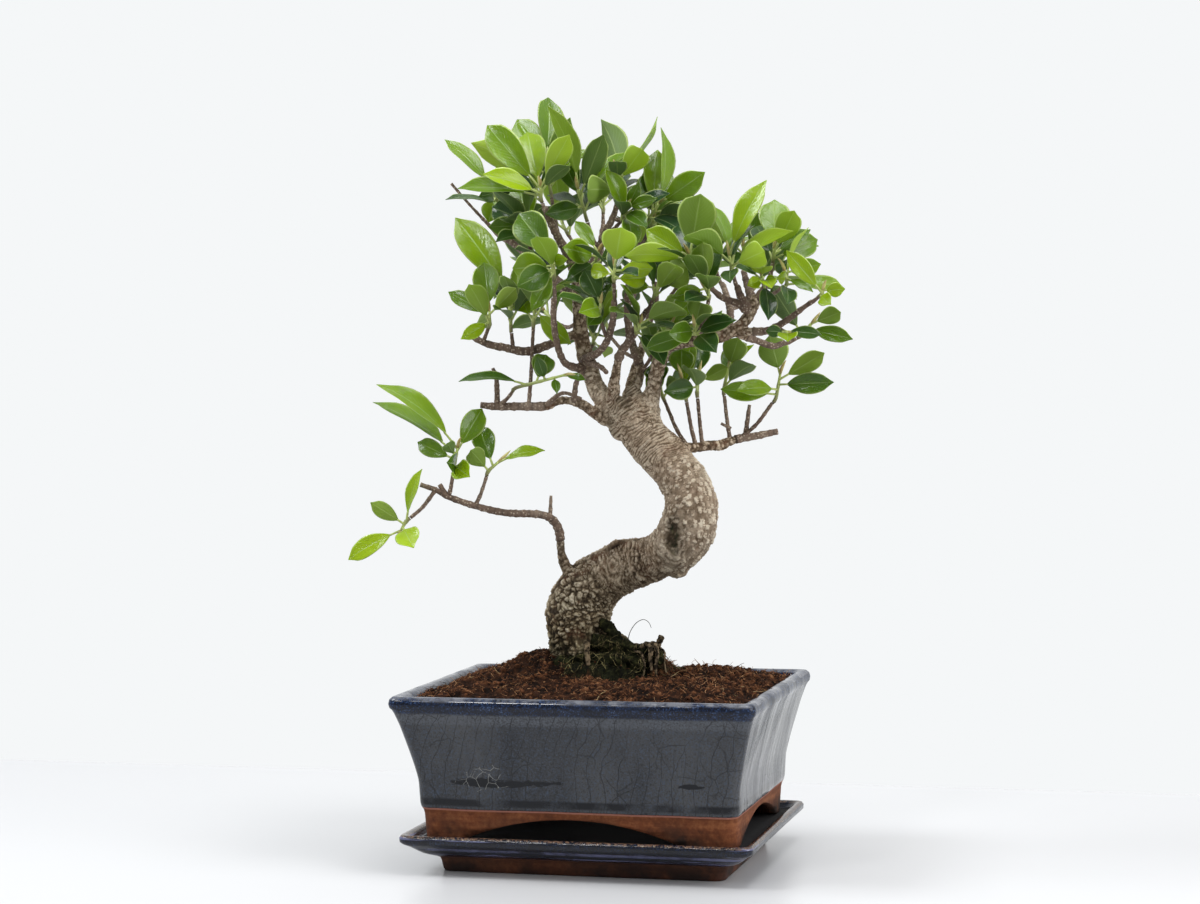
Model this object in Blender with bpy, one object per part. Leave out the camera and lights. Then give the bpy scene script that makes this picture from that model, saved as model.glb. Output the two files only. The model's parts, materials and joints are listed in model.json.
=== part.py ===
"""A small fig bonsai in a glazed pot that stands on its saucer.

Sizes and places are in millimetres and become metres when a mesh is made.
X runs along the pot, Y to its back and Z up. The origin is the middle of the saucer's base.
The tree's routes are read off the photograph by eye, with a depth chosen for each point.
"""
import math
import random
from collections import namedtuple

import bmesh
import bpy
from mathutils import Matrix, Vector
from mathutils.bvhtree import BVHTree

MM = 0.001
GAP = 0.3

# Saucer
SAUCER_HALF = (96.5, 76.0)
SAUCER_HEIGHT = 21.5
SAUCER_FLOOR = 17.5

# Pot, 200 by 160 at the rim
POT_HALF = (100.0, 80.0)
POT_TOP = 96.0
POT_BASE = SAUCER_FLOOR + GAP
GLAZE_LINE = 35.5
POT_UNDERSIDE = 31.5
POT_FLOOR = 37.5
FOOT_WALL = 11.0
ARCH_TOP = 31.0
FRONT_ARCH_RADIUS = 150.0
FRONT_ARCH_X = -3.0
SIDE_ARCH_RADIUS = 95.0
DRAIN_RADIUS = 9.0
DRAIN_X = 42.0
CORNER_STEPS = 3

# Inner wall of the pot: half length, half depth, corner radius, height
POT_INSIDE = (
    (91.5, 71.5, 4.0, 93.0),
    (89.0, 69.0, 5.0, 80.0),
    (85.0, 65.0, 6.0, 62.0),
    (80.0, 60.0, 7.0, POT_FLOOR),
)

# Soil and the rooted stump that stands in its hole
SOIL_EDGE = 92.5
STUMP_CENTRE = (-3.0, 10.0)
STUMP_HALF = (34.0, 24.0)
STUMP_BOTTOM = 58.0

# Leaves and stems
SEED = 2628
GOLDEN_TURN = math.radians(137.5)
LEAF_THICKNESS = 0.7
PETIOLE = 0.17
PETIOLE_HALF_WIDTH = 0.5
LONG_ROWS = (PETIOLE, 0.38, 0.62, 0.85)
SHORT_ROWS = (PETIOLE, 0.45, 0.80)
LONG_LEAF = 37.0
FULL_WIDTH = 0.41
EYE = Vector((372.0, -1392.0, 275.0))
CLEARANCE = 0.45
ATTEMPTS = 26
TWIG_RADIUS = 1.0
STEM_RADIUS = (1.05, 0.7)

# Trunk centre line: x, y, z, radius
TRUNK = (
    (-19, 12, 86, 14.0), (-19, 12, 102, 15.0), (-19, 11, 118, 16.2), (-18, 10, 132, 18.0),
    (-12, 8, 145, 17.0), (1, 5, 155, 15.0), (13, 3, 160, 14.0), (29, -1, 165, 12.6),
    (42, -4, 172, 14.5), (48, -5, 181, 15.2), (50, -4, 193, 14.3), (47, -2, 204, 13.4),
    (40, 0, 213, 12.8), (30, 2, 224, 12.8), (22, 4, 232, 12.4), (17, 6, 241, 12.6),
    (11, 6, 250, 10.5),
)

# Branches, each a route of x, y, z, radius that starts inside what it grows from
BRANCHES = {
    "leader": ((11, 6, 242, 8.0), (-3, 6, 254, 6.2), (-9, 5, 270, 5.2), (-12, 3, 284, 4.7),
               (-13, 1, 299, 4.0), (-13, -1, 314, 3.2)),
    "crown_left": ((-13, -1, 311, 3.0), (-16, -4, 327, 2.6), (-21, -8, 339, 2.3),
                   (-25, -12, 349, 2.0), (-27, -15, 356, 1.6)),
    "crown_mid": ((-13, 0, 306, 2.8), (-7, 5, 322, 2.5), (-3, 7, 333, 2.3), (1, 7, 342, 2.0),
                  (6, 6, 351, 1.7), (9, 4, 358, 1.4)),
    "crown_back": ((-13, 3, 294, 3.0), (-13, 20, 308, 2.6), (-12, 36, 324, 2.3),
                   (-12, 48, 340, 2.0), (-12, 53, 349, 1.6)),
    "left_mid": ((1, 4, 240, 4.2), (-5, 1, 244, 3.4), (-12, -2, 249, 2.9), (-21, -5, 251, 2.7),
                 (-30, -8, 248, 2.6), (-44, -11, 248, 2.4), (-56, -13, 248, 2.2),
                 (-65, -15, 249, 1.8)),
    "left_up": ((-13, 2, 288, 3.0), (-24, -6, 283, 2.5), (-38, -12, 278, 2.4),
                (-50, -16, 280, 2.2), (-61, -20, 283, 1.9), (-69, -22, 288, 1.5)),
    "left_top": ((-14, 0, 307, 2.6), (-29, 12, 318, 2.3), (-44, 22, 328, 2.1),
                 (-57, 27, 338, 1.8), (-66, 29, 343, 1.5), (-74, 29, 351, 1.0),
                 (-83, 27, 361, 0.8), (-93, 25, 373, 0.8)),
    "front_left": ((-11, 2, 268, 2.6), (-17, -12, 271, 1.9), (-19, -22, 282, 1.8),
                   (-19, -28, 296, 1.7), (-17, -33, 306, 1.6)),
    "front_mid": ((-11, 2, 273, 2.6), (2, -14, 277, 2.0), (10, -24, 284, 1.9),
                  (15, -31, 295, 1.8), (17, -36, 304, 1.6)),
    "centre_up": ((5, 2, 251, 4.0), (11, -6, 273, 2.6), (18, -12, 282, 2.1),
                  (26, -18, 293, 1.8), (31, -21, 299, 1.5)),
    "centre_back": ((12, 10, 249, 4.2), (11, 26, 264, 3.2), (13, 38, 278, 2.8),
                    (15, 48, 294, 2.4), (17, 56, 308, 2.0), (16, 59, 316, 1.6)),
    "centre_top": ((14, 6, 250, 3.6), (19, 10, 266, 2.7), (12, 16, 286, 2.3),
                   (11, 16, 306, 2.0), (15, 12, 324, 1.8), (21, 8, 336, 1.5)),
    "right_main": ((24, 5, 244, 6.5), (28, 3, 257, 4.8), (32, 0, 270, 4.3), (38, -4, 279, 4.1),
                   (50, -8, 282, 4.0), (64, -10, 283, 3.9), (75, -10, 287, 3.7),
                   (83, -8, 294, 3.6), (87, -6, 303, 3.6), (88, -6, 307, 2.4)),
    "right_inner": ((84, -8, 297, 2.6), (79, -14, 302, 2.0), (72, -19, 305, 1.7),
                    (66, -24, 311, 1.4)),
    "right_high": ((84, -8, 298, 2.6), (81, -14, 305, 2.2), (80, -19, 311, 1.6)),
    "right_back": ((86, -6, 302, 2.6), (80, 8, 312, 2.0), (76, 17, 320, 1.5)),
    "right_top": ((88, -6, 304, 2.6), (92, -6, 310, 1.8), (96, -6, 317, 1.4)),
    "right_end": ((80, -10, 287, 3.0), (94, -14, 287, 2.1), (102, -17, 290, 1.8),
                  (109, -19, 294, 1.6), (116, -21, 299, 1.4), (121, -22, 302, 1.2)),
    "right_fork": ((78, -8, 286, 3.0), (86, 2, 282, 1.9), (94, 8, 279, 1.7),
                   (100, 10, 281, 1.4)),
    "right_up": ((65, -11, 284, 3.2), (61, -18, 288, 2.7), (63, -23, 295, 2.2)),
    "right_rear": ((72, -8, 286, 2.6), (69, 14, 298, 2.0), (63, 30, 309, 1.8),
                   (60, 35, 314, 1.5)),
    "low_right": ((38, 3, 223, 5.0), (47, 12, 224, 3.6), (55, 19, 225, 3.3), (61, 24, 225, 3.5),
                  (68, 28, 228, 2.6), (80, 33, 230, 2.1), (90, 37, 232, 1.8)),
    "low_left": ((-20, 5, 152, 4.2), (-24, 0, 165, 2.9), (-24, -5, 179, 2.5),
                 (-27, -9, 186, 2.4), (-34, -12, 189, 2.2), (-51, -17, 190, 2.0),
                 (-67, -21, 194, 1.9), (-81, -24, 199, 1.7), (-88, -26, 203, 1.5),
                 (-96, -28, 206, 1.3)),
    "cross_twig": ((-8, 0, 272, 2.2), (3, -14, 269, 1.4), (8, -20, 266, 1.2)),
    "left_prop": ((-15, -4, 250, 1.8), (-13, -6, 260, 1.4), (-11, -1, 268, 1.4)),
    "left_bare": ((-30, -8, 248, 1.6), (-18, -16, 255, 1.1), (-6, -22, 252, 0.9)),
    "left_spur": ((-56, -13, 248, 1.6), (-56, -14, 263, 1.3), (-58, -14, 269, 1.0)),
    "low_spur": ((-28, -9, 186, 1.2), (-27, -10, 199, 0.8)),
    "low_stub": ((-82, -24, 199, 1.6), (-86, -25, 206, 1.2)),
    "right_stub": ((73, 30, 228, 1.5), (76, 29, 247, 1.0)),
    "low_right_twiglet": ((66, 26, 234, 1.0), (61, 24, 237, 0.8)),
}

# Knobs on the trunk: x, y, z, radius
KNOBS = (
    (8, -1, 167, 7.0), (44, -4, 158, 7.0), (23, 3, 222, 7.0), (9, 5, 235, 7.0),
    (38, -13, 172, 7.0), (-13, -4, 113, 5.0), (26, 7, 245, 8.0),
)

# Surface roots from the trunk's foot into the stump: x, y, z, radius
ROOTS = (
    ((-12, 4, 120, 5.0), (-9, -3, 110, 3.4), (-8, -6, 100, 2.6)),
    ((-8, 12, 126, 6.0), (1, 12, 120, 4.6), (10, 12, 114, 4.0), (24, 12, 100, 2.6)),
    ((6, 12, 114, 4.0), (18, 12, 113, 3.2), (25, 12, 111, 2.4), (28, 12, 98, 2.0)),
    ((-10, 4, 116, 4.0), (4, 0, 110, 3.0), (14, -1, 104, 2.2), (20, 0, 94, 2.0)),
    ((-27, 6, 114, 5.0), (-29, 3, 106, 3.4), (-27, 3, 96, 2.6)),
    ((-14, 22, 116, 5.0), (-6, 28, 106, 3.4), (-2, 28, 94, 2.4)),
)

# Leafy stems: where the twig starts and ends, the stem's tip, the number of further leaves,
# their length, and the tips (x, y, z) and widths of the leaves that show in the photograph
Stem = namedtuple("Stem", "name start end tip more length leaves")
STEMS = (
    Stem("low_tip", (-88, -26, 203), (-101, -31, 188), (-106, -33, 181), 0, 30,
         ((-120, -42, 197, 9), (-92, -52, 173, 14), (-92, -36, 215, 6), (-136, -35, 165, 11))),
    Stem("low_mid", (-81, -24, 200), (-78, -25, 212), (-75, -26, 226), 0, 34,
         ((-100, -20, 229, 10), (-61, -48, 211, 12), (-74, -50, 219, 12), (-75, -44, 229, 8),
          (-128, -14, 251, 9), (-65, -12, 247, 13), (-120, -30, 261, 10))),
    Stem("low_inner", (-67, -21, 194), (-60, -22, 210), (-53, -22, 218), 0, 32,
         ((-65, -34, 225, 11), (-27, -20, 224, 6), (-67, -12, 237, 13))),
    Stem("mid_spray", (-55, -13, 249), (-46, -17, 256), (-14, -24, 265), 0, 20,
         ((-72, -32, 262, 5), (-28, -30, 275, 7), (-28, -12, 276, 13), (-16, -34, 255, 5),
          (-2, -26, 262, 4))),
    Stem("left_tip", (-62, -20, 283), (-58, -22, 290), (-57, -22, 300), 1, 32,
         ((-69, -36, 285, 8), (-69, -8, 293, 9), (-81, -20, 311, 9), (-38, -34, 312, 10),
          (-62, -14, 327, 15))),
    Stem("left_inner", (-46, -14, 279), (-47, -14, 288), (-47, -14, 309), 4, 34,
         ((-80, -8, 352, 17),)),
    Stem("left_post", (-39, -10, 248), (-34, -16, 290), (-33, -16, 301), 4, 36,
         ((-12, -20, 281, 11),)),
    Stem("front_left", (-17, -32, 304), (-16, -36, 315), (-15, -40, 328), 1, 36,
         ((-25, -50, 299, 10), (-31, -56, 312, 15), (-37, -44, 322, 17), (-6, -48, 322, 5),
          (-37, -30, 352, 19), (-4, -52, 326, 7))),
    Stem("crown_front", (-26, -13, 352), (-28, -15, 358), (-28, -18, 367), 1, 38,
         ((-75, -20, 367, 9), (-54, -40, 373, 10), (-43, 8, 399, 17), (-61, -8, 402, 17),
          (-7, -34, 393, 13))),
    Stem("crown_top", (-21, -8, 339), (-27, 0, 361), (-31, 2, 383), 1, 38,
         ((-73, -4, 397, 8), (-52, 16, 408, 16), (-16, -6, 406, 12), (-39, 26, 417, 17))),
    Stem("crown_far", (-57, 27, 338), (-64, 25, 355), (-68, 22, 370), 2, 34,
         ((-68, 14, 350, 12), (-71, 6, 364, 10), (-97, 26, 398, 9))),
    Stem("crown_low", (-46, 23, 329), (-45, 16, 340), (-45, 12, 350), 3, 36,
         ((-65, 4, 347, 11), (-66, 18, 359, 14))),
    Stem("crown_mid_left", (-3, 7, 333), (-8, 4, 348), (-12, 0, 366), 1, 38,
         ((-26, -18, 352, 11), (-27, 14, 390, 12), (5, -8, 395, 13), (-24, -16, 409, 7))),
    Stem("crown_mid", (7, 5, 353), (9, 4, 361), (9, 2, 375), 0, 38,
         ((1, -28, 364, 16), (30, -22, 385, 14), (2, 10, 389, 12), (-6, 22, 401, 8),
          (37, -4, 410, 15), (7, 16, 412, 13))),
    Stem("crown_right", (6, 6, 350), (23, 2, 348), (34, -2, 357), 0, 36,
         ((27, 8, 375, 16), (32, 10, 399, 8), (29, 18, 389, 13), (60, -4, 373, 14))),
    Stem("crown_dark", (1, 7, 342), (12, 0, 348), (17, -6, 355), 1, 30,
         ((25, -30, 332, 10), (33, -26, 343, 9), (36, -14, 359, 7), (25, -10, 368, 7))),
    Stem("centre_top", (19, 9, 333), (26, 6, 343), (29, 5, 350), 3, 34,
         ((46, 10, 355, 12), (45, 2, 338, 12))),
    Stem("front_bright", (17, -35, 302), (18, -40, 313), (19, -42, 322), 0, 36,
         ((4, -34, 321, 9), (32, -26, 316, 11), (38, -34, 321, 10), (26, -54, 342, 19))),
    Stem("leader_front", (-13, 0, 308), (-1, -16, 320), (5, -22, 331), 1, 34,
         ((-9, -38, 315, 11), (-11, -40, 332, 14), (-10, -14, 348, 8))),
    Stem("front_low", (10, -24, 284), (8, -30, 293), (9, -34, 303), 1, 34,
         ((6, -50, 291, 9), (2, -56, 298, 12), (-2, -28, 322, 13))),
    Stem("centre_green", (-11, 4, 275), (-10, 16, 280), (-10, 20, 287), 4, 32, ()),
    Stem("inner_right", (67, -23, 310), (61, -28, 319), (57, -31, 328), 0, 38,
         ((44, -14, 339, 14), (32, -4, 339, 12), (27, -52, 327, 11), (32, -24, 343, 14),
          (66, -42, 359, 21))),
    Stem("centre_up", (30, -20, 298), (35, -25, 304), (39, -28, 313), 2, 36,
         ((17, -8, 314, 11), (56, -34, 322, 17))),
    Stem("centre_low", (18, -12, 282), (24, -19, 286), (28, -24, 292), 2, 36,
         ((60, -54, 298, 11),)),
    Stem("up_right", (63, -22, 294), (66, -27, 303), (65, -30, 310), 4, 34,
         ((50, -44, 305, 9),)),
    Stem("up_olive", (61, -18, 288), (60, -28, 286), (60, -34, 290), 1, 30,
         ((50, -52, 286, 12), (66, -44, 302, 14))),
    Stem("mid_right", (19, 10, 266), (30, 2, 279), (39, -4, 290), 4, 32,
         ((39, -20, 298, 13),)),
    Stem("behind_fork", (11, 26, 264), (18, 36, 268), (20, 40, 277), 4, 34,
         ((17, 30, 252, 12),)),
    Stem("right_high", (80, -18, 310), (79, -24, 317), (78, -28, 327), 1, 36,
         ((101, -48, 328, 15), (65, -60, 333, 16), (64, -14, 355, 8), (99, -30, 366, 12))),
    Stem("right_back", (77, 15, 318), (75, 22, 326), (75, 22, 334), 2, 36,
         ((87, 6, 331, 9), (67, 34, 348, 11), (95, 20, 354, 14))),
    Stem("right_top", (95, -6, 315), (97, -7, 323), (98, -8, 331), 0, 36,
         ((118, 12, 336, 13), (116, 2, 341, 8), (95, 10, 358, 17), (112, -22, 350, 14))),
    Stem("right_small", (92, -6, 310), (93, -13, 312), (93, -17, 316), 1, 22,
         ((87, -26, 311, 7), (102, -20, 313, 7), (94, -22, 321, 12))),
    Stem("right_mid", (88, -6, 304), (103, -12, 310), (105, -14, 318), 2, 32,
         ((121, -20, 307, 5), (102, -26, 317, 8), (124, -12, 322, 10))),
    Stem("right_tip", (119, -22, 301), (124, -23, 304), (127, -24, 308), 0, 24,
         ((133, -34, 300, 8), (108, -26, 329, 10), (139, -26, 308, 8))),
    Stem("right_under", (101, -17, 290), (105, -22, 287), (108, -24, 286), 1, 20,
         ((97, -28, 287, 7), (110, -34, 281, 11))),
    Stem("right_fork_end", (98, 9, 280), (106, 10, 283), (115, 8, 291), 0, 34,
         ((138, 4, 282, 9), (96, -6, 311, 13), (132, 2, 296, 10))),
    Stem("low_right_far", (71, 29, 229), (89, 28, 248), (94, 26, 264), 0, 36,
         ((74, 2, 255, 9), (63, 14, 256, 11), (124, 24, 259, 12), (120, 18, 275, 11),
          (89, 22, 285, 17))),
    Stem("low_right_mid", (65, 28, 228), (63, 24, 252), (66, 22, 268), 2, 32,
         ((78, 28, 281, 5), (73, 16, 284, 14))),
    Stem("low_right_near", (52, 17, 225), (50, 15, 251), (51, 14, 263), 1, 34,
         ((35, -2, 255, 12), (69, 6, 268, 9), (50, 26, 280, 11))),
    Stem("low_right_inner", (49, 14, 225), (45, 10, 249), (43, 8, 262), 2, 32,
         ((36, 0, 259, 10), (42, 12, 278, 14))),
    Stem("low_right_thin", (45, 10, 225), (31, 18, 249), (28, 20, 257), 2, 32,
         ((23, 28, 269, 14),)),
    Stem("back_top", (-12, 51, 346), (-13, 56, 355), (-14, 60, 366), 5, 38, ()),
    Stem("back_left_high", (-12, 36, 324), (-32, 52, 343), (-39, 58, 354), 5, 38, ()),
    Stem("back_left", (-13, 20, 308), (-42, 48, 317), (-54, 56, 323), 4, 38, ()),
    Stem("back_left_low", (-13, 6, 295), (-37, 40, 294), (-46, 48, 301), 4, 36, ()),
    Stem("back_mid", (16, 58, 313), (13, 64, 323), (13, 68, 334), 5, 38, ()),
    Stem("back_right_high", (15, 50, 297), (26, 66, 312), (30, 70, 322), 5, 38, ()),
    Stem("back_right", (61, 34, 312), (55, 44, 321), (52, 50, 332), 4, 38, ()),
    Stem("back_right_far", (68, 16, 299), (75, 44, 310), (80, 52, 318), 4, 36, ()),
    Stem("back_low", (13, 38, 278), (23, 58, 283), (29, 64, 290), 4, 36, ()),
    Stem("back_centre", (12, 34, 273), (-8, 52, 285), (-13, 60, 294), 4, 36, ()),
    Stem("rear_top", (12, 16, 305), (12, 32, 311), (13, 38, 320), 4, 36, ()),
)

# Material: base colour, roughness
FINISHES = {
    "glaze": ((0.018, 0.024, 0.040), 0.18),
    "saucer_glaze": ((0.016, 0.020, 0.034), 0.22),
    "soil": ((0.085, 0.034, 0.017), 0.95),
    "bark": ((0.230, 0.180, 0.135), 0.85),
    "leaf": ((0.110, 0.230, 0.030), 0.35),
}

Leaf = namedtuple("Leaf", "base tip normal width bow")


def clear_scene():
    for item in list(bpy.data.objects):
        bpy.data.objects.remove(item)


def new_collection(name):
    group = bpy.data.collections.new(name)
    bpy.context.scene.collection.children.link(group)
    return group


def finish(name):
    """A Principled material with one of the part's finishes."""
    material = bpy.data.materials.get(name)
    if material is None:
        colour, roughness = FINISHES[name]
        material = bpy.data.materials.new(name)
        material.use_nodes = True
        shader = material.node_tree.nodes["Principled BSDF"]
        shader.inputs["Base Color"].default_value = (*colour, 1.0)
        shader.inputs["Roughness"].default_value = roughness
        shader.inputs["Metallic"].default_value = 0.0
    return material


def mesh_object(name, points, faces, group):
    """An object from points in millimetres, with every face turned outward."""
    mesh = bpy.data.meshes.new(name)
    mesh.from_pydata([Vector(point) * MM for point in points], [], faces)
    work = bmesh.new()
    work.from_mesh(mesh)
    bmesh.ops.recalc_face_normals(work, faces=work.faces)
    work.to_mesh(mesh)
    work.free()
    item = bpy.data.objects.new(name, mesh)
    group.objects.link(item)
    return item


def apply_modifiers(item):
    """Keep what the viewport shows as the object's own mesh."""
    bpy.context.view_layer.update()
    evaluated = item.evaluated_get(bpy.context.evaluated_depsgraph_get())
    mesh = bpy.data.meshes.new_from_object(evaluated)
    item.modifiers.clear()
    item.data = mesh


def cut(item, cutters):
    """Take the cutters out of an object, one Boolean each."""
    for cutter in cutters:
        cutter.hide_render = True
        cutter.display_type = "WIRE"
        modifier = item.modifiers.new("Cut " + cutter.name, "BOOLEAN")
        modifier.operation = "DIFFERENCE"
        modifier.object = cutter
        modifier.solver = "EXACT"


def join_all(item, pieces):
    """Fuse a collection of closed pieces into an object and remove them."""
    modifier = item.modifiers.new("Join", "BOOLEAN")
    modifier.operation = "UNION"
    modifier.operand_type = "COLLECTION"
    modifier.collection = pieces
    modifier.solver = "MANIFOLD"
    apply_modifiers(item)
    for piece in list(pieces.objects):
        bpy.data.objects.remove(piece)
    bpy.data.collections.remove(pieces)


def loft(rings):
    """Points and faces of a closed skin through rings of equal counts, capped at both ends."""
    count = len(rings[0])
    points = [point for ring in rings for point in ring]
    faces = [list(range(count))[::-1]]
    for level in range(len(rings) - 1):
        low = level * count
        high = low + count
        for side in range(count):
            following = (side + 1) % count
            faces.append([low + side, low + following, high + following, high + side])
    last = (len(rings) - 1) * count
    faces.append(list(range(last, last + count)))
    return points, faces


def rounded_ring(half_x, half_y, radius, z):
    """A level ring in the outline of a rectangle with rounded corners."""
    ring = []
    for quarter, (side_x, side_y) in enumerate(((1, 1), (-1, 1), (-1, -1), (1, -1))):
        for step in range(CORNER_STEPS + 1):
            angle = math.radians(90.0 * (quarter + step / CORNER_STEPS))
            ring.append((side_x * (half_x - radius) + radius * math.cos(angle),
                         side_y * (half_y - radius) + radius * math.sin(angle), z))
    return ring


def oval_ring(centre, half_x, half_y, height):
    """An oval ring with as many points as a rounded one; height is a number or a function."""
    ring = []
    for quarter in range(4):
        for step in range(CORNER_STEPS + 1):
            angle = math.radians(90.0 * (quarter + (step + 0.5) / (CORNER_STEPS + 1)))
            x = centre[0] + half_x * math.cos(angle)
            y = centre[1] + half_y * math.sin(angle)
            ring.append((x, y, height(x, y) if callable(height) else height))
    return ring


def cylinder(name, radius, length, place, turn, group, sides):
    """A plain cylinder cutter in millimetres, its axis turned from Z by an Euler turn."""
    work = bmesh.new()
    bmesh.ops.create_cone(work, cap_ends=True, segments=sides, radius1=radius * MM,
                          radius2=radius * MM, depth=length * MM)
    mesh = bpy.data.meshes.new(name)
    work.to_mesh(mesh)
    work.free()
    item = bpy.data.objects.new(name, mesh)
    item.location = Vector(place) * MM
    item.rotation_euler = turn
    group.objects.link(item)
    return item


def make_saucer(group):
    half_x, half_y = SAUCER_HALF
    sections = (
        (77.4, 57.4, 6.0, 0.0), (78.0, 58.0, 6.0, 0.8), (79.0, 59.0, 6.0, 7.6),
        (81.0, 61.0, 6.0, 8.4), (87.0, 66.5, 6.0, 10.6),
        (92.0, 71.5, 6.0, 14.6), (95.0, 74.5, 6.0, 16.4),
        (half_x, half_y, 5.5, 17.2), (half_x, half_y, 5.5, 20.4),
        (half_x - 0.9, half_y - 0.9, 5.0, SAUCER_HEIGHT),
        (half_x - 4.0, half_y - 4.0, 4.5, SAUCER_HEIGHT - 0.1),
        (half_x - 7.0, half_y - 7.0, 4.0, SAUCER_FLOOR + 0.6),
        (half_x - 8.5, half_y - 8.5, 3.5, SAUCER_FLOOR),
    )
    saucer = mesh_object("saucer", *loft([rounded_ring(*part) for part in sections]), group)
    saucer.data.materials.append(finish("saucer_glaze"))


def make_pot(group, cutters):
    half_x, half_y = POT_HALF
    outside = (
        (85.0, 64.0, 7.0, POT_BASE), (86.0, 65.5, 7.0, GLAZE_LINE - 1.5),
        (87.4, 67.2, 6.5, GLAZE_LINE), (88.1, 68.1, 6.5, 50.0), (89.7, 69.7, 6.0, 58.0),
        (91.7, 71.7, 6.0, 66.0), (95.4, 75.4, 5.5, 80.0), (98.4, 78.4, 5.0, 89.0),
        (half_x - 0.3, half_y - 0.3, 4.5, 89.6), (half_x, half_y, 4.5, 92.0),
        (half_x - 0.4, half_y - 0.4, 4.5, 94.6), (half_x - 2.0, half_y - 2.0, 4.0, POT_TOP),
        (half_x - 7.0, half_y - 7.0, 4.0, POT_TOP - 0.3),
    )
    rings = [rounded_ring(*part) for part in outside + POT_INSIDE]
    pot = mesh_object("pot", *loft(rings), group)
    pot.data.materials.append(finish("glaze"))
    recess = mesh_object("recess", *loft([
        rounded_ring(85.0 - FOOT_WALL, 64.0 - FOOT_WALL, 5.0, POT_BASE - 5.0),
        rounded_ring(86.0 - FOOT_WALL, 65.5 - FOOT_WALL, 5.0, POT_UNDERSIDE),
    ]), cutters)
    quarter = math.radians(90.0)
    front_arch = cylinder("front_arch", FRONT_ARCH_RADIUS, 260.0,
                          (FRONT_ARCH_X, 0.0, ARCH_TOP - FRONT_ARCH_RADIUS),
                          (quarter, 0.0, 0.0), cutters, 80)
    side_arch = cylinder("side_arch", SIDE_ARCH_RADIUS, 260.0,
                         (0.0, 0.0, ARCH_TOP - SIDE_ARCH_RADIUS),
                         (0.0, quarter, 0.0), cutters, 56)
    drains = [cylinder(f"drain_{side}", DRAIN_RADIUS, 20.0,
                       (x, 0.0, (POT_UNDERSIDE + POT_FLOOR) / 2.0), (0.0, 0.0, 0.0), cutters, 16)
              for side, x in (("left", -DRAIN_X), ("right", DRAIN_X))]
    cut(pot, [recess, front_arch, side_arch, *drains])


def soil_height(x, y):
    """Height of the soil: low at the rim, domed inside, heaped up on the left of the trunk."""
    dome = 8.5 * (1.0 - (x / 93.0) ** 6) * (1.0 - (y / 73.0) ** 6)
    heap = 12.5 * math.exp(-((x + 36.0) / 24.0) ** 2 - ((y - 14.0) / 24.0) ** 2)
    return SOIL_EDGE + dome + heap


def make_soil(group):
    rings = [rounded_ring(half_x - GAP, half_y - GAP, radius, z)
             for half_x, half_y, radius, z in reversed(POT_INSIDE[1:])]
    rings[0] = [(x, y, POT_FLOOR + GAP) for x, y, z in rings[0]]
    half_x, half_y, radius, z = POT_INSIDE[0]
    rings.append(rounded_ring(half_x - GAP, half_y - GAP, radius, SOIL_EDGE))
    hole = (STUMP_HALF[0] + GAP, STUMP_HALF[1] + GAP)
    edge = rings[-1]
    brim = oval_ring(STUMP_CENTRE, *hole, soil_height)
    for share in (0.12, 0.34, 0.67):
        ring = []
        for outer, inner in zip(edge, brim):
            x = outer[0] + share * (inner[0] - outer[0])
            y = outer[1] + share * (inner[1] - outer[1])
            ring.append((x, y, soil_height(x, y)))
        rings.append(ring)
    rings.append(brim)
    rings.append(oval_ring(STUMP_CENTRE, *hole, STUMP_BOTTOM - GAP))
    soil = mesh_object("soil", *loft(rings), group)
    soil.data.materials.append(finish("soil"))


def smooth_route(route, step):
    """Points along a Catmull-Rom curve through a route, about one step apart."""
    knots = [Vector(knot) if len(knot) == 4 else Vector((*knot, 0.0)) for knot in route]
    knots = [knots[0] * 2 - knots[1], *knots, knots[-1] * 2 - knots[-2]]
    points = []
    for before, start, end, after in zip(knots, knots[1:], knots[2:], knots[3:]):
        length = (end.xyz - start.xyz).length
        pieces = max(1, round(length / step))
        for piece in range(pieces):
            t = piece / pieces
            points.append(0.5 * (2 * start + (end - before) * t
                                 + (2 * before - 5 * start + 4 * end - after) * t ** 2
                                 + (3 * start - before - 3 * end + after) * t ** 3))
    points.append(knots[-2])
    return points


def tube_shape(points, sides, swell=0.0):
    """Points and faces of a plain tube, used to test what is clear of what."""
    rings = []
    side = Vector((0.0, 1.0, 0.0))
    for place, point in enumerate(points):
        ahead = points[min(place + 1, len(points) - 1)].xyz
        behind = points[max(place - 1, 0)].xyz
        along = (ahead - behind).normalized()
        side = (side - along * side.dot(along)).normalized()
        other = along.cross(side)
        rings.append([point.xyz + (side * math.cos(math.tau * turn / sides)
                                   + other * math.sin(math.tau * turn / sides))
                      * (point.w + swell) for turn in range(sides)])
    return loft(rings)


def tube(name, points, resolution, group):
    """A tube as a beveled curve, made a closed mesh."""
    curve = bpy.data.curves.new(name, "CURVE")
    curve.dimensions = "3D"
    curve.bevel_depth = MM
    curve.bevel_resolution = resolution
    curve.use_fill_caps = True
    spline = curve.splines.new("POLY")
    spline.points.add(len(points) - 1)
    for knot, point in zip(spline.points, points):
        knot.co = (*(point.xyz * MM), 1.0)
        knot.radius = point.w
    wire = bpy.data.objects.new(name + "_curve", curve)
    group.objects.link(wire)
    bpy.context.view_layer.update()
    evaluated = wire.evaluated_get(bpy.context.evaluated_depsgraph_get())
    mesh = bpy.data.meshes.new_from_object(evaluated)
    work = bmesh.new()
    work.from_mesh(mesh)
    bmesh.ops.remove_doubles(work, verts=work.verts, dist=0.00001)
    work.to_mesh(mesh)
    work.free()
    item = bpy.data.objects.new(name, mesh)
    item.matrix_world = wire.matrix_world
    group.objects.link(item)
    bpy.data.objects.remove(wire)
    return item


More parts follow.
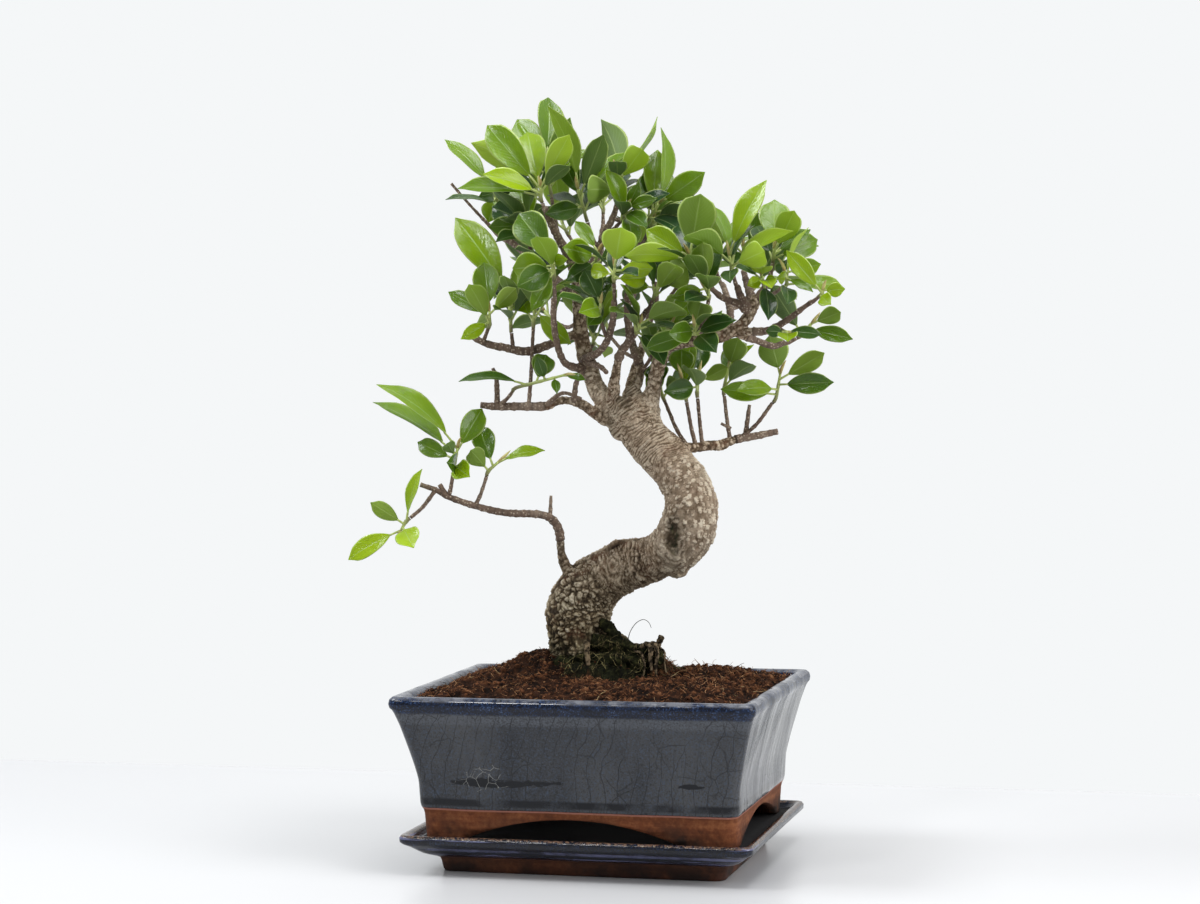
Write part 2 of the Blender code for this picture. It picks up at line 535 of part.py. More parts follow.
def ball(name, place, radius, group):
    work = bmesh.new()
    bmesh.ops.create_icosphere(work, subdivisions=2, radius=radius * MM,
                               matrix=Matrix.Translation(Vector(place) * MM))
    mesh = bpy.data.meshes.new(name)
    work.to_mesh(mesh)
    work.free()
    item = bpy.data.objects.new(name, mesh)
    group.objects.link(item)
    return item


def twig_route(stem):
    """A brown twig that leaves its branch outward and then turns up to the green stem."""
    start = Vector(stem.start)
    end = Vector(stem.end)
    middle = start.lerp(end, 0.5) + Vector((0.0, 0.0, -0.08 * (end - start).length))
    return smooth_route([(*start, TWIG_RADIUS * 1.25), (*middle, TWIG_RADIUS * 1.1),
                         (*end, TWIG_RADIUS)], 24.0)


def stem_route(stem, twig):
    """The green stem goes straight on from the twig's end, then bends to its own tip."""
    along = (twig[-1].xyz - twig[-2].xyz).normalized()
    foot = twig[-1].xyz + along * GAP
    wide, narrow = STEM_RADIUS
    return [Vector((*foot, wide)),
            *smooth_route([(*(foot + along * 3.0), wide), (*stem.tip, narrow)], 16.0)]


def point_on(points, share):
    """The place and direction at a share of the way along a stem."""
    lengths = [(b.xyz - a.xyz).length for a, b in zip(points, points[1:])]
    wanted = share * sum(lengths)
    for place, length in enumerate(lengths):
        if wanted <= length or place == len(lengths) - 1:
            a = points[place].xyz
            b = points[place + 1].xyz
            return a.lerp(b, min(1.0, wanted / length)), (b - a).normalized()
        wanted -= length
    return points[-1].xyz, Vector((0.0, 0.0, 1.0))


def half_width(share):
    """Half the blade's width, as a share of its full width, from its base to its tip."""
    return 0.5 * math.sin(math.pi * share ** 1.1) ** 0.65


def leaf_frame(leaf, share):
    """A point on the arched midrib, with the side and upper directions there."""
    chord = leaf.tip - leaf.base
    rise = leaf.bow * chord.length
    point = leaf.base + chord * share + leaf.normal * (rise * 4.0 * share * (1.0 - share))
    along = (chord + leaf.normal * (rise * 4.0 * (1.0 - 2.0 * share))).normalized()
    side = along.cross(leaf.normal).normalized()
    return point, side, side.cross(along).normalized()


def leaf_shape(leaf, swell=0.0, blade_only=False):
    """A blade with a stalk, of one thickness, with the same triangles on both faces."""
    foot, side, upper = leaf_frame(leaf, PETIOLE * 0.8 if blade_only else 0.0)
    flat = [(foot, upper)]
    for share in LONG_ROWS if (leaf.tip - leaf.base).length > LONG_LEAF else SHORT_ROWS:
        point, side, upper = leaf_frame(leaf, share)
        wide = leaf.width * half_width((share - PETIOLE) / (1.0 - PETIOLE))
        out = side * (max(wide, PETIOLE_HALF_WIDTH) + swell)
        flat += [(point - out, upper), (point + out, upper)]
    point, side, upper = leaf_frame(leaf, 1.0)
    flat.append((point + (leaf.tip - leaf.base).normalized() * swell, upper))
    half = LEAF_THICKNESS / 2.0 + swell
    points = [point + upper * half for point, upper in flat]
    points += [point - upper * half for point, upper in flat]
    top = len(flat) - 1
    outline = [0, *range(2, top, 2), top, *range(top - 2, 0, -2)]
    upper_faces = [(0, 1, 2), (top - 2, top, top - 1)]
    for left in range(1, top - 2, 2):
        upper_faces += [(left, left + 2, left + 1), (left + 1, left + 2, left + 3)]
    below = len(flat)
    faces = upper_faces + [(c + below, b + below, a + below) for a, b, c in upper_faces]
    for first, second in zip(outline, outline[1:] + outline[:1]):
        faces += [(first, second, second + below), (first, second + below, first + below)]
    return points, faces


class Space:
    """What is already standing, so that each new leaf can be kept clear of it."""

    def __init__(self):
        self.items = []

    def add(self, shape, owner):
        points, faces = shape
        low = Vector([min(point[axis] for point in points) for axis in range(3)])
        high = Vector([max(point[axis] for point in points) for axis in range(3)])
        self.items.append((low, high, BVHTree.FromPolygons(points, faces), owner))

    def free(self, shape, blade, owner):
        """True where the whole leaf clears other stems and its blade clears its own."""
        trees = {}
        for key, (points, faces) in (("whole", shape), ("blade", blade)):
            low = Vector([min(point[axis] for point in points) for axis in range(3)])
            high = Vector([max(point[axis] for point in points) for axis in range(3)])
            trees[key] = (low, high, BVHTree.FromPolygons(points, faces))
        for low, high, tree, other in self.items:
            mine_low, mine_high, mine = trees["blade" if other == owner else "whole"]
            apart = any(low[axis] > mine_high[axis] or high[axis] < mine_low[axis]
                        for axis in range(3))
            if not apart and mine.overlap(tree):
                return False
        return True


def turned(vector, axis, angle):
    return Matrix.Rotation(angle, 3, axis) @ vector


def upper_side(base, tip, facing):
    """The direction nearest to a wanted one that is square to the leaf's chord."""
    along = (tip - base).normalized()
    normal = facing - along * facing.dot(along)
    if normal.length < 0.2:
        normal = along.orthogonal()
    return normal.normalized()


def seen_leaf(base, tip, axis, seen, chance, attempt):
    """A leaf turned so that it shows its width in the photograph."""
    along = (tip - base).normalized()
    full = max(seen, FULL_WIDTH * (tip - base).length * (1.0 - PETIOLE))
    normal = upper_side(base, tip, EYE - base)
    up = axis + Vector((0.0, 0.0, 0.7))
    if normal.dot(up) < 0.0:
        normal.negate()
    roll = math.acos(min(1.0, seen / full))
    turned_ways = [turned(normal, along, way * roll) for way in (1.0, -1.0)]
    normal = max(turned_ways, key=lambda way: way.dot(up))
    spread = 4.0 * attempt
    normal = turned(normal, along, math.radians(chance.uniform(-spread, spread)))
    return Leaf(base, tip, normal, full, chance.uniform(0.04, 0.10))


def further_leaf(base, tip, axis, width, chance):
    """A leaf with its upper face turned to the stem's tip and the sky."""
    along = (tip - base).normalized()
    normal = upper_side(base, tip, axis + Vector((0.0, 0.0, 0.7)))
    normal = turned(normal, along, math.radians(chance.uniform(-35.0, 35.0)))
    return Leaf(base, tip, normal, width, chance.uniform(0.05, 0.12))


def leaf_order(stem, green):
    """Where the leaves stand: the further ones lowest, the others by how far up they reach."""
    count = len(stem.leaves) + stem.more
    shares = [0.30 + 0.66 * place / max(1, count - 1) for place in range(count)]
    up = (green[-1].xyz - green[0].xyz).normalized()
    placed = sorted(stem.leaves, key=lambda leaf: Vector(leaf[:3]).dot(up))
    return shares[:stem.more], list(zip(shares[stem.more:], placed))


def grow_leaves(stem, number, green, space):
    """Leaves of one stem: first those placed by hand, then the rest in a spiral."""
    chance = random.Random(SEED + number)
    further, placed = leaf_order(stem, green)
    leaves = []

    def keep(leaf):
        space.add(leaf_shape(leaf), number)
        leaves.append(leaf)

    def fits(leaf):
        return space.free(leaf_shape(leaf, CLEARANCE), leaf_shape(leaf, 0.1, True), number)

    for share, (x, y, z, width) in placed:
        base, axis = point_on(green, share)
        for attempt in range(ATTEMPTS):
            reach = 0.9 * attempt
            tip = Vector((x, y, z)) + Vector((chance.uniform(-0.3, 0.3), chance.uniform(-1, 1),
                                              chance.uniform(-0.3, 0.3))) * reach
            leaf = seen_leaf(base, tip, axis, width, chance, attempt)
            if fits(leaf):
                keep(leaf)
                break
    turn = chance.uniform(0.0, math.tau)
    for share in further:
        base, axis = point_on(green, share)
        side = axis.orthogonal().normalized()
        for attempt in range(ATTEMPTS):
            turn += GOLDEN_TURN if attempt == 0 else math.radians(47.0)
            lean = math.radians(chance.uniform(38.0, 74.0) - 22.0 * share)
            out = turned(side, axis, turn)
            along = (axis * math.cos(lean) + out * math.sin(lean)).normalized()
            along.z = max(along.z, -0.25)
            length = stem.length * chance.uniform(0.85, 1.12)
            tip = base + along.normalized() * length
            width = length * chance.uniform(0.36, 0.46)
            leaf = further_leaf(base, tip, axis, width, chance)
            if fits(leaf):
                keep(leaf)
                break
    return leaves


def make_wood(group):
    """Trunk, branches, twigs, knobs, roots and stump, fused into one grown body."""
    pieces = new_collection("wood_pieces")
    space = Space()
    trunk_line = smooth_route(TRUNK, 9.0)
    tree = tube("tree", trunk_line, 4, group)
    space.add(tube_shape(trunk_line, 12), -1)
    for name, route in BRANCHES.items():
        line = smooth_route(route, 15.0)
        thickest = max(knot[3] for knot in route)
        tube(name, line, 2 if thickest > 4.5 else 1 if thickest > 2.9 else 0, pieces)
        space.add(tube_shape(line, 6), -1)
    for place, (x, y, z, radius) in enumerate(KNOBS):
        ball(f"knob_{place}", (x, y, z), radius, pieces)
    for place, route in enumerate(ROOTS):
        tube(f"root_{place}", smooth_route(route, 9.0), 1, pieces)
    stump_rings = (
        (0.72, 0.72, STUMP_BOTTOM), (1.0, 1.0, 78.0), (1.0, 1.0, 103.0), (0.92, 0.90, 106.5),
        (0.72, 0.66, 110.0), (0.40, 0.36, 113.0),
    )
    rings = [oval_ring(STUMP_CENTRE, STUMP_HALF[0] * share_x, STUMP_HALF[1] * share_y, z)
             for share_x, share_y, z in stump_rings]
    mesh_object("stump", *loft(rings), pieces)
    twigs = {}
    for stem in STEMS:
        line = twig_route(stem)
        tube("twig_" + stem.name, line, 0, pieces)
        space.add(tube_shape(line, 6), -1)
        twigs[stem.name] = line
    join_all(tree, pieces)
    tree.data.materials.append(finish("bark"))
    return space, twigs


def make_leafy_stem(stem, number, green, space, group):
    """One green stem with its leaves, fused into one body."""
    name = "leafy_stem_" + stem.name
    body = tube(name, green, 0, group)
    pieces = new_collection(name + "_leaves")
    for place, leaf in enumerate(grow_leaves(stem, number, green, space)):
        mesh_object(f"leaf_{number}_{place}", *leaf_shape(leaf), pieces)
    join_all(body, pieces)
    body.data.materials.append(finish("leaf"))


def main():
    clear_scene()
    group = new_collection("Bonsai tree in a pot")
    cutters = new_collection("Cutters")
    make_saucer(group)
    make_pot(group, cutters)
    make_soil(group)
    space, twigs = make_wood(group)
    greens = [stem_route(stem, twigs[stem.name]) for stem in STEMS]
    for number, green in enumerate(greens):
        space.add(tube_shape(green, 6), number)
    for number, (stem, green) in enumerate(zip(STEMS, greens)):
        make_leafy_stem(stem, number, green, space, group)


main()
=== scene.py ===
"""A small fig bonsai in a glazed pot on its saucer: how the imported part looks.

Sizes and places are in millimetres, in the part's own frame, and become metres in the meshes.
The tree's routes, the leaf rule and the pot's sections are those of the part's source.
"""
import itertools
import json
import math
import random
from collections import namedtuple

import bmesh
import bpy
import numpy as np
from mathutils import Matrix, Vector, noise
from mathutils.bvhtree import BVHTree

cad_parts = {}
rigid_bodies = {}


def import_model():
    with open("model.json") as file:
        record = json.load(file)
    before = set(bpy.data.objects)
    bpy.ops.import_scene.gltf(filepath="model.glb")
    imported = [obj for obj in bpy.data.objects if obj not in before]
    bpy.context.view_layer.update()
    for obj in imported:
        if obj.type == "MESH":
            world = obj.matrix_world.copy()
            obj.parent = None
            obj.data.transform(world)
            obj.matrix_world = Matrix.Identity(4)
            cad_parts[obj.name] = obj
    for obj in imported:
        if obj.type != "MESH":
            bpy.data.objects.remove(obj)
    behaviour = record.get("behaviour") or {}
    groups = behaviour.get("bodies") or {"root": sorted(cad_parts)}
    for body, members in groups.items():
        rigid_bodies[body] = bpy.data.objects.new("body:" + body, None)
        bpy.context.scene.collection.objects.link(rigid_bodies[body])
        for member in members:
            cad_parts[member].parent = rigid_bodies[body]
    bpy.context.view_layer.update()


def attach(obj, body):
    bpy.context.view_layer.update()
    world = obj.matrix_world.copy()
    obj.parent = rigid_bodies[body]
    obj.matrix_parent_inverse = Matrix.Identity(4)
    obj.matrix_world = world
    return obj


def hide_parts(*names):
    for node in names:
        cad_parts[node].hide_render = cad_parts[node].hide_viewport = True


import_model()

MM = 0.001
GAP = 0.3
SEED = 2628

# Camera, fitted to the photograph
CAMERA_PLACE = (372.45, -1392.29, 274.59)
CAMERA_YAW = 15.04
CAMERA_PITCH = -2.0726
CAMERA_ROLL = -0.7605
CAMERA_LENS = 79.11
SENSOR = 36.0

# The table's far edge, half its length, and the colours of the table and the wall
TABLE_END = 262.0
TABLE_HALF = 1700
TABLE_COLOUR = (0.505, 0.505, 0.512)
WALL_COLOUR = (0.913, 0.930, 0.939)

# Lamps: name, place, aim, width and height, power in watts, colour
LAMPS = (
    ("left_window", (-1150, -250, 1350), (0, 0, 250), (650, 520), 20.0, (0.95, 0.98, 1.0)),
    ("front_left_lamp", (-650, -1450, 1400), (0, 0, 200), (320, 260), 7.0, (1.0, 1.0, 1.0)),
    ("right_window", (1300, -350, 850), (0, 0, 200), (800, 900), 16.0, (1.0, 1.0, 1.0)),
    ("overhead", (200, -80, 1500), (0, 0, 200), (500, 850), 14.0, (1.0, 1.0, 1.0)),
)

# Saucer: half length, half depth, corner radius, height, from its base round to its floor
SAUCER_SECTIONS = (
    (77.4, 57.4, 6.0, 0.0), (78.0, 58.0, 6.0, 0.8), (79.0, 59.0, 6.0, 7.6), (81.0, 61.0, 6.0, 8.4),
    (87.0, 66.5, 6.0, 10.6), (92.0, 71.5, 6.0, 14.6), (95.0, 74.5, 6.0, 16.4),
    (96.5, 76.0, 5.5, 17.2), (96.5, 76.0, 5.5, 20.4), (95.6, 75.1, 5.0, 21.5),
    (92.5, 72.0, 4.5, 21.4), (89.5, 69.0, 4.0, 18.1), (88.0, 67.5, 3.5, 17.5),
)

# Pot: half length, half depth, corner radius, height, from its foot round to its floor
POT_BASE = 17.8
POT_OUTSIDE = (
    (85.0, 64.0, 7.0, POT_BASE), (86.0, 65.5, 7.0, 34.0), (87.4, 67.2, 6.5, 35.5),
    (88.1, 68.1, 6.5, 50.0), (89.7, 69.7, 6.0, 58.0), (91.7, 71.7, 6.0, 66.0),
    (95.4, 75.4, 5.5, 80.0), (98.4, 78.4, 5.0, 89.0), (99.7, 79.7, 4.5, 89.6),
    (100.0, 80.0, 4.5, 92.0), (99.6, 79.6, 4.5, 94.6), (98.0, 78.0, 4.0, 96.0),
    (93.0, 73.0, 4.0, 95.7),
)
POT_INSIDE = (
    (91.5, 71.5, 4.0, 93.0), (89.0, 69.0, 5.0, 80.0), (85.0, 65.0, 6.0, 62.0),
    (80.0, 60.0, 7.0, 37.5),
)
POT_UNDERSIDE = 31.5
POT_FLOOR = 37.5
FOOT_WALL = 11.0
ARCH_TOP = 31.0
FRONT_ARCH = (-3.0, 150.0)
SIDE_ARCH = (0.0, 95.0)
DRAINS = (-42.0, 42.0)
DRAIN_RADIUS = 9.0
GLAZE_LINE = 35.2

# Pieces of the outline at each rounded corner and along each side
CORNER_STEPS = 8
SIDE_STEPS = 12

# Soil, the columns and rows of its top, and the rooted stump in it
SOIL_EDGE = 92.5
SOIL_HALF = (91.0, 71.0, 4.0)
SOIL_GRID = (190, 148)
STUMP_CENTRE = (-3.0, 10.0)
STUMP_HALF = (34.0, 24.0)
STUMP_TOP = 113.6

# Leaves and stems
GOLDEN_TURN = math.radians(137.5)
NEXT_TRY_TURN = math.radians(47.0)
TO_SKY = Vector((0.0, 0.0, 0.7))
LOWEST_LEAN = -0.25
LEAF_THICKNESS = 0.7
PETIOLE = 0.17
PETIOLE_HALF_WIDTH = 0.5
LONG_ROWS = (PETIOLE, 0.38, 0.62, 0.85)
SHORT_ROWS = (PETIOLE, 0.45, 0.80)
LONG_LEAF = 37.0
FULL_WIDTH = 0.41
EYE = Vector((372.0, -1392.0, 275.0))
CLEARANCE = 0.45
OWN_CLEARANCE = 0.1
INNER_CLEARANCE = 0.2
ATTEMPTS = 26
TWIG_RADIUS = 1.0
STEM_RADIUS = (1.05, 0.7)

# The fine blade's points: their places along it, and across it from edge to edge
BLADE_ROWS = (PETIOLE, 0.20, 0.25, 0.31, 0.38, 0.46, 0.54, 0.62, 0.70, 0.77, 0.83, 0.885, 0.93,
              0.965, 0.988)
BLADE_COLUMNS = (-1.0, -0.86, -0.45, 0.0, 0.45, 0.86, 1.0)

# Sizes of the small blocks that the trunk, the limbs and the moss are grown together from
TRUNK_VOXEL = 0.64
LIMB_VOXEL = 0.50
MOSS_VOXEL = 0.70

# Trunk centre line: x, y, z, radius
TRUNK = (
    (-19, 12, 86, 14.0), (-19, 12, 102, 15.0), (-19, 11, 118, 16.2), (-18, 10, 132, 18.0),
    (-12, 8, 145, 17.0), (1, 5, 155, 15.0), (13, 3, 160, 14.0), (29, -1, 165, 12.6),
    (42, -4, 172, 14.5), (48, -5, 181, 15.2), (50, -4, 193, 14.3), (47, -2, 204, 13.4),
    (40, 0, 213, 12.8), (30, 2, 224, 12.8), (22, 4, 232, 12.4), (17, 6, 241, 12.6),
    (11, 6, 250, 10.5),
)

# Branches, each a route of x, y, z, radius that starts inside what it grows from
BRANCHES = {
    "leader": ((11, 6, 242, 8.0), (-3, 6, 254, 6.2), (-9, 5, 270, 5.2), (-12, 3, 284, 4.7),
               (-13, 1, 299, 4.0), (-13, -1, 314, 3.2)),
    "crown_left": ((-13, -1, 311, 3.0), (-16, -4, 327, 2.6), (-21, -8, 339, 2.3),
                   (-25, -12, 349, 2.0), (-27, -15, 356, 1.6)),
    "crown_mid": ((-13, 0, 306, 2.8), (-7, 5, 322, 2.5), (-3, 7, 333, 2.3), (1, 7, 342, 2.0),
                  (6, 6, 351, 1.7), (9, 4, 358, 1.4)),
    "crown_back": ((-13, 3, 294, 3.0), (-13, 20, 308, 2.6), (-12, 36, 324, 2.3),
                   (-12, 48, 340, 2.0), (-12, 53, 349, 1.6)),
    "left_mid": ((1, 4, 240, 4.2), (-5, 1, 244, 3.4), (-12, -2, 249, 2.9), (-21, -5, 251, 2.7),
                 (-30, -8, 248, 2.6), (-44, -11, 248, 2.4), (-56, -13, 248, 2.2),
                 (-65, -15, 249, 1.8)),
    "left_up": ((-13, 2, 288, 3.0), (-24, -6, 283, 2.5), (-38, -12, 278, 2.4),
                (-50, -16, 280, 2.2), (-61, -20, 283, 1.9), (-69, -22, 288, 1.5)),
    "left_top": ((-14, 0, 307, 2.6), (-29, 12, 318, 2.3), (-44, 22, 328, 2.1),
                 (-57, 27, 338, 1.8), (-66, 29, 343, 1.5), (-74, 29, 351, 1.0),
                 (-83, 27, 361, 0.8), (-93, 25, 373, 0.8)),
    "front_left": ((-11, 2, 268, 2.6), (-17, -12, 271, 1.9), (-19, -22, 282, 1.8),
                   (-19, -28, 296, 1.7), (-17, -33, 306, 1.6)),
    "front_mid": ((-11, 2, 273, 2.6), (2, -14, 277, 2.0), (10, -24, 284, 1.9),
                  (15, -31, 295, 1.8), (17, -36, 304, 1.6)),
    "centre_up": ((5, 2, 251, 4.0), (11, -6, 273, 2.6), (18, -12, 282, 2.1),
                  (26, -18, 293, 1.8), (31, -21, 299, 1.5)),
    "centre_back": ((12, 10, 249, 4.2), (11, 26, 264, 3.2), (13, 38, 278, 2.8),
                    (15, 48, 294, 2.4), (17, 56, 308, 2.0), (16, 59, 316, 1.6)),
    "centre_top": ((14, 6, 250, 3.6), (19, 10, 266, 2.7), (12, 16, 286, 2.3),
                   (11, 16, 306, 2.0), (15, 12, 324, 1.8), (21, 8, 336, 1.5)),
    "right_main": ((24, 5, 244, 6.5), (28, 3, 257, 4.8), (32, 0, 270, 4.3), (38, -4, 279, 4.1),
                   (50, -8, 282, 4.0), (64, -10, 283, 3.9), (75, -10, 287, 3.7),
                   (83, -8, 294, 3.6), (87, -6, 303, 3.6), (88, -6, 307, 2.4)),
    "right_inner": ((84, -8, 297, 2.6), (79, -14, 302, 2.0), (72, -19, 305, 1.7),
                    (66, -24, 311, 1.4)),
    "right_high": ((84, -8, 298, 2.6), (81, -14, 305, 2.2), (80, -19, 311, 1.6)),
    "right_back": ((86, -6, 302, 2.6), (80, 8, 312, 2.0), (76, 17, 320, 1.5)),
    "right_top": ((88, -6, 304, 2.6), (92, -6, 310, 1.8), (96, -6, 317, 1.4)),
    "right_end": ((80, -10, 287, 3.0), (94, -14, 287, 2.1), (102, -17, 290, 1.8),
                  (109, -19, 294, 1.6), (116, -21, 299, 1.4), (121, -22, 302, 1.2)),
    "right_fork": ((78, -8, 286, 3.0), (86, 2, 282, 1.9), (94, 8, 279, 1.7),
                   (100, 10, 281, 1.4)),
    "right_up": ((65, -11, 284, 3.2), (61, -18, 288, 2.7), (63, -23, 295, 2.2)),
    "right_rear": ((72, -8, 286, 2.6), (69, 14, 298, 2.0), (63, 30, 309, 1.8),
                   (60, 35, 314, 1.5)),
    "low_right": ((38, 3, 223, 5.0), (47, 12, 224, 3.6), (55, 19, 225, 3.3), (61, 24, 225, 3.5),
                  (68, 28, 228, 2.6), (80, 33, 230, 2.1), (90, 37, 232, 1.8)),
    "low_left": ((-20, 5, 152, 4.2), (-24, 0, 165, 2.9), (-24, -5, 179, 2.5),
                 (-27, -9, 186, 2.4), (-34, -12, 189, 2.2), (-51, -17, 190, 2.0),
                 (-67, -21, 194, 1.9), (-81, -24, 199, 1.7), (-88, -26, 203, 1.5),
                 (-96, -28, 206, 1.3)),
    "cross_twig": ((-8, 0, 272, 2.2), (3, -14, 269, 1.4), (8, -20, 266, 1.2)),
    "left_prop": ((-15, -4, 250, 1.8), (-13, -6, 260, 1.4), (-11, -1, 268, 1.4)),
    "left_bare": ((-30, -8, 248, 1.6), (-18, -16, 255, 1.1), (-6, -22, 252, 0.9)),
    "left_spur": ((-56, -13, 248, 1.6), (-56, -14, 263, 1.3), (-58, -14, 269, 1.0)),
    "low_spur": ((-28, -9, 186, 1.2), (-27, -10, 199, 0.8)),
    "low_stub": ((-82, -24, 199, 1.6), (-86, -25, 206, 1.2)),
    "right_stub": ((73, 30, 228, 1.5), (76, 29, 247, 1.0)),
    "low_right_twiglet": ((66, 26, 234, 1.0), (61, 24, 237, 0.8)),
}

# Knobs on the trunk: x, y, z, radius
KNOBS = (
    (8, -1, 167, 7.0), (42, -4, 160, 6.3), (23, 3, 222, 7.0), (9, 5, 235, 7.0),
    (38, -13, 172, 7.0), (-13, -4, 113, 5.0), (25, 7, 245, 6.0),
)

# Surface roots from the trunk's foot into the stump: x, y, z, radius
ROOTS = (
    ((-12, 4, 120, 5.0), (-9, -3, 110, 3.4), (-8, -6, 100, 2.6)),
    ((-8, 12, 126, 6.0), (1, 12, 120, 4.6), (10, 12, 114, 4.0), (24, 12, 100, 2.6)),
    ((6, 12, 114, 4.0), (18, 12, 113, 3.2), (25, 12, 111, 2.4), (28, 12, 98, 2.0)),
    ((-10, 4, 116, 4.0), (4, 0, 110, 3.0), (14, -1, 104, 2.2), (20, 0, 94, 2.0)),
    ((-27, 6, 114, 5.0), (-29, 3, 106, 3.4), (-27, 3, 96, 2.6)),
    ((-14, 22, 116, 5.0), (-6, 28, 106, 3.4), (-2, 28, 94, 2.4)),
)

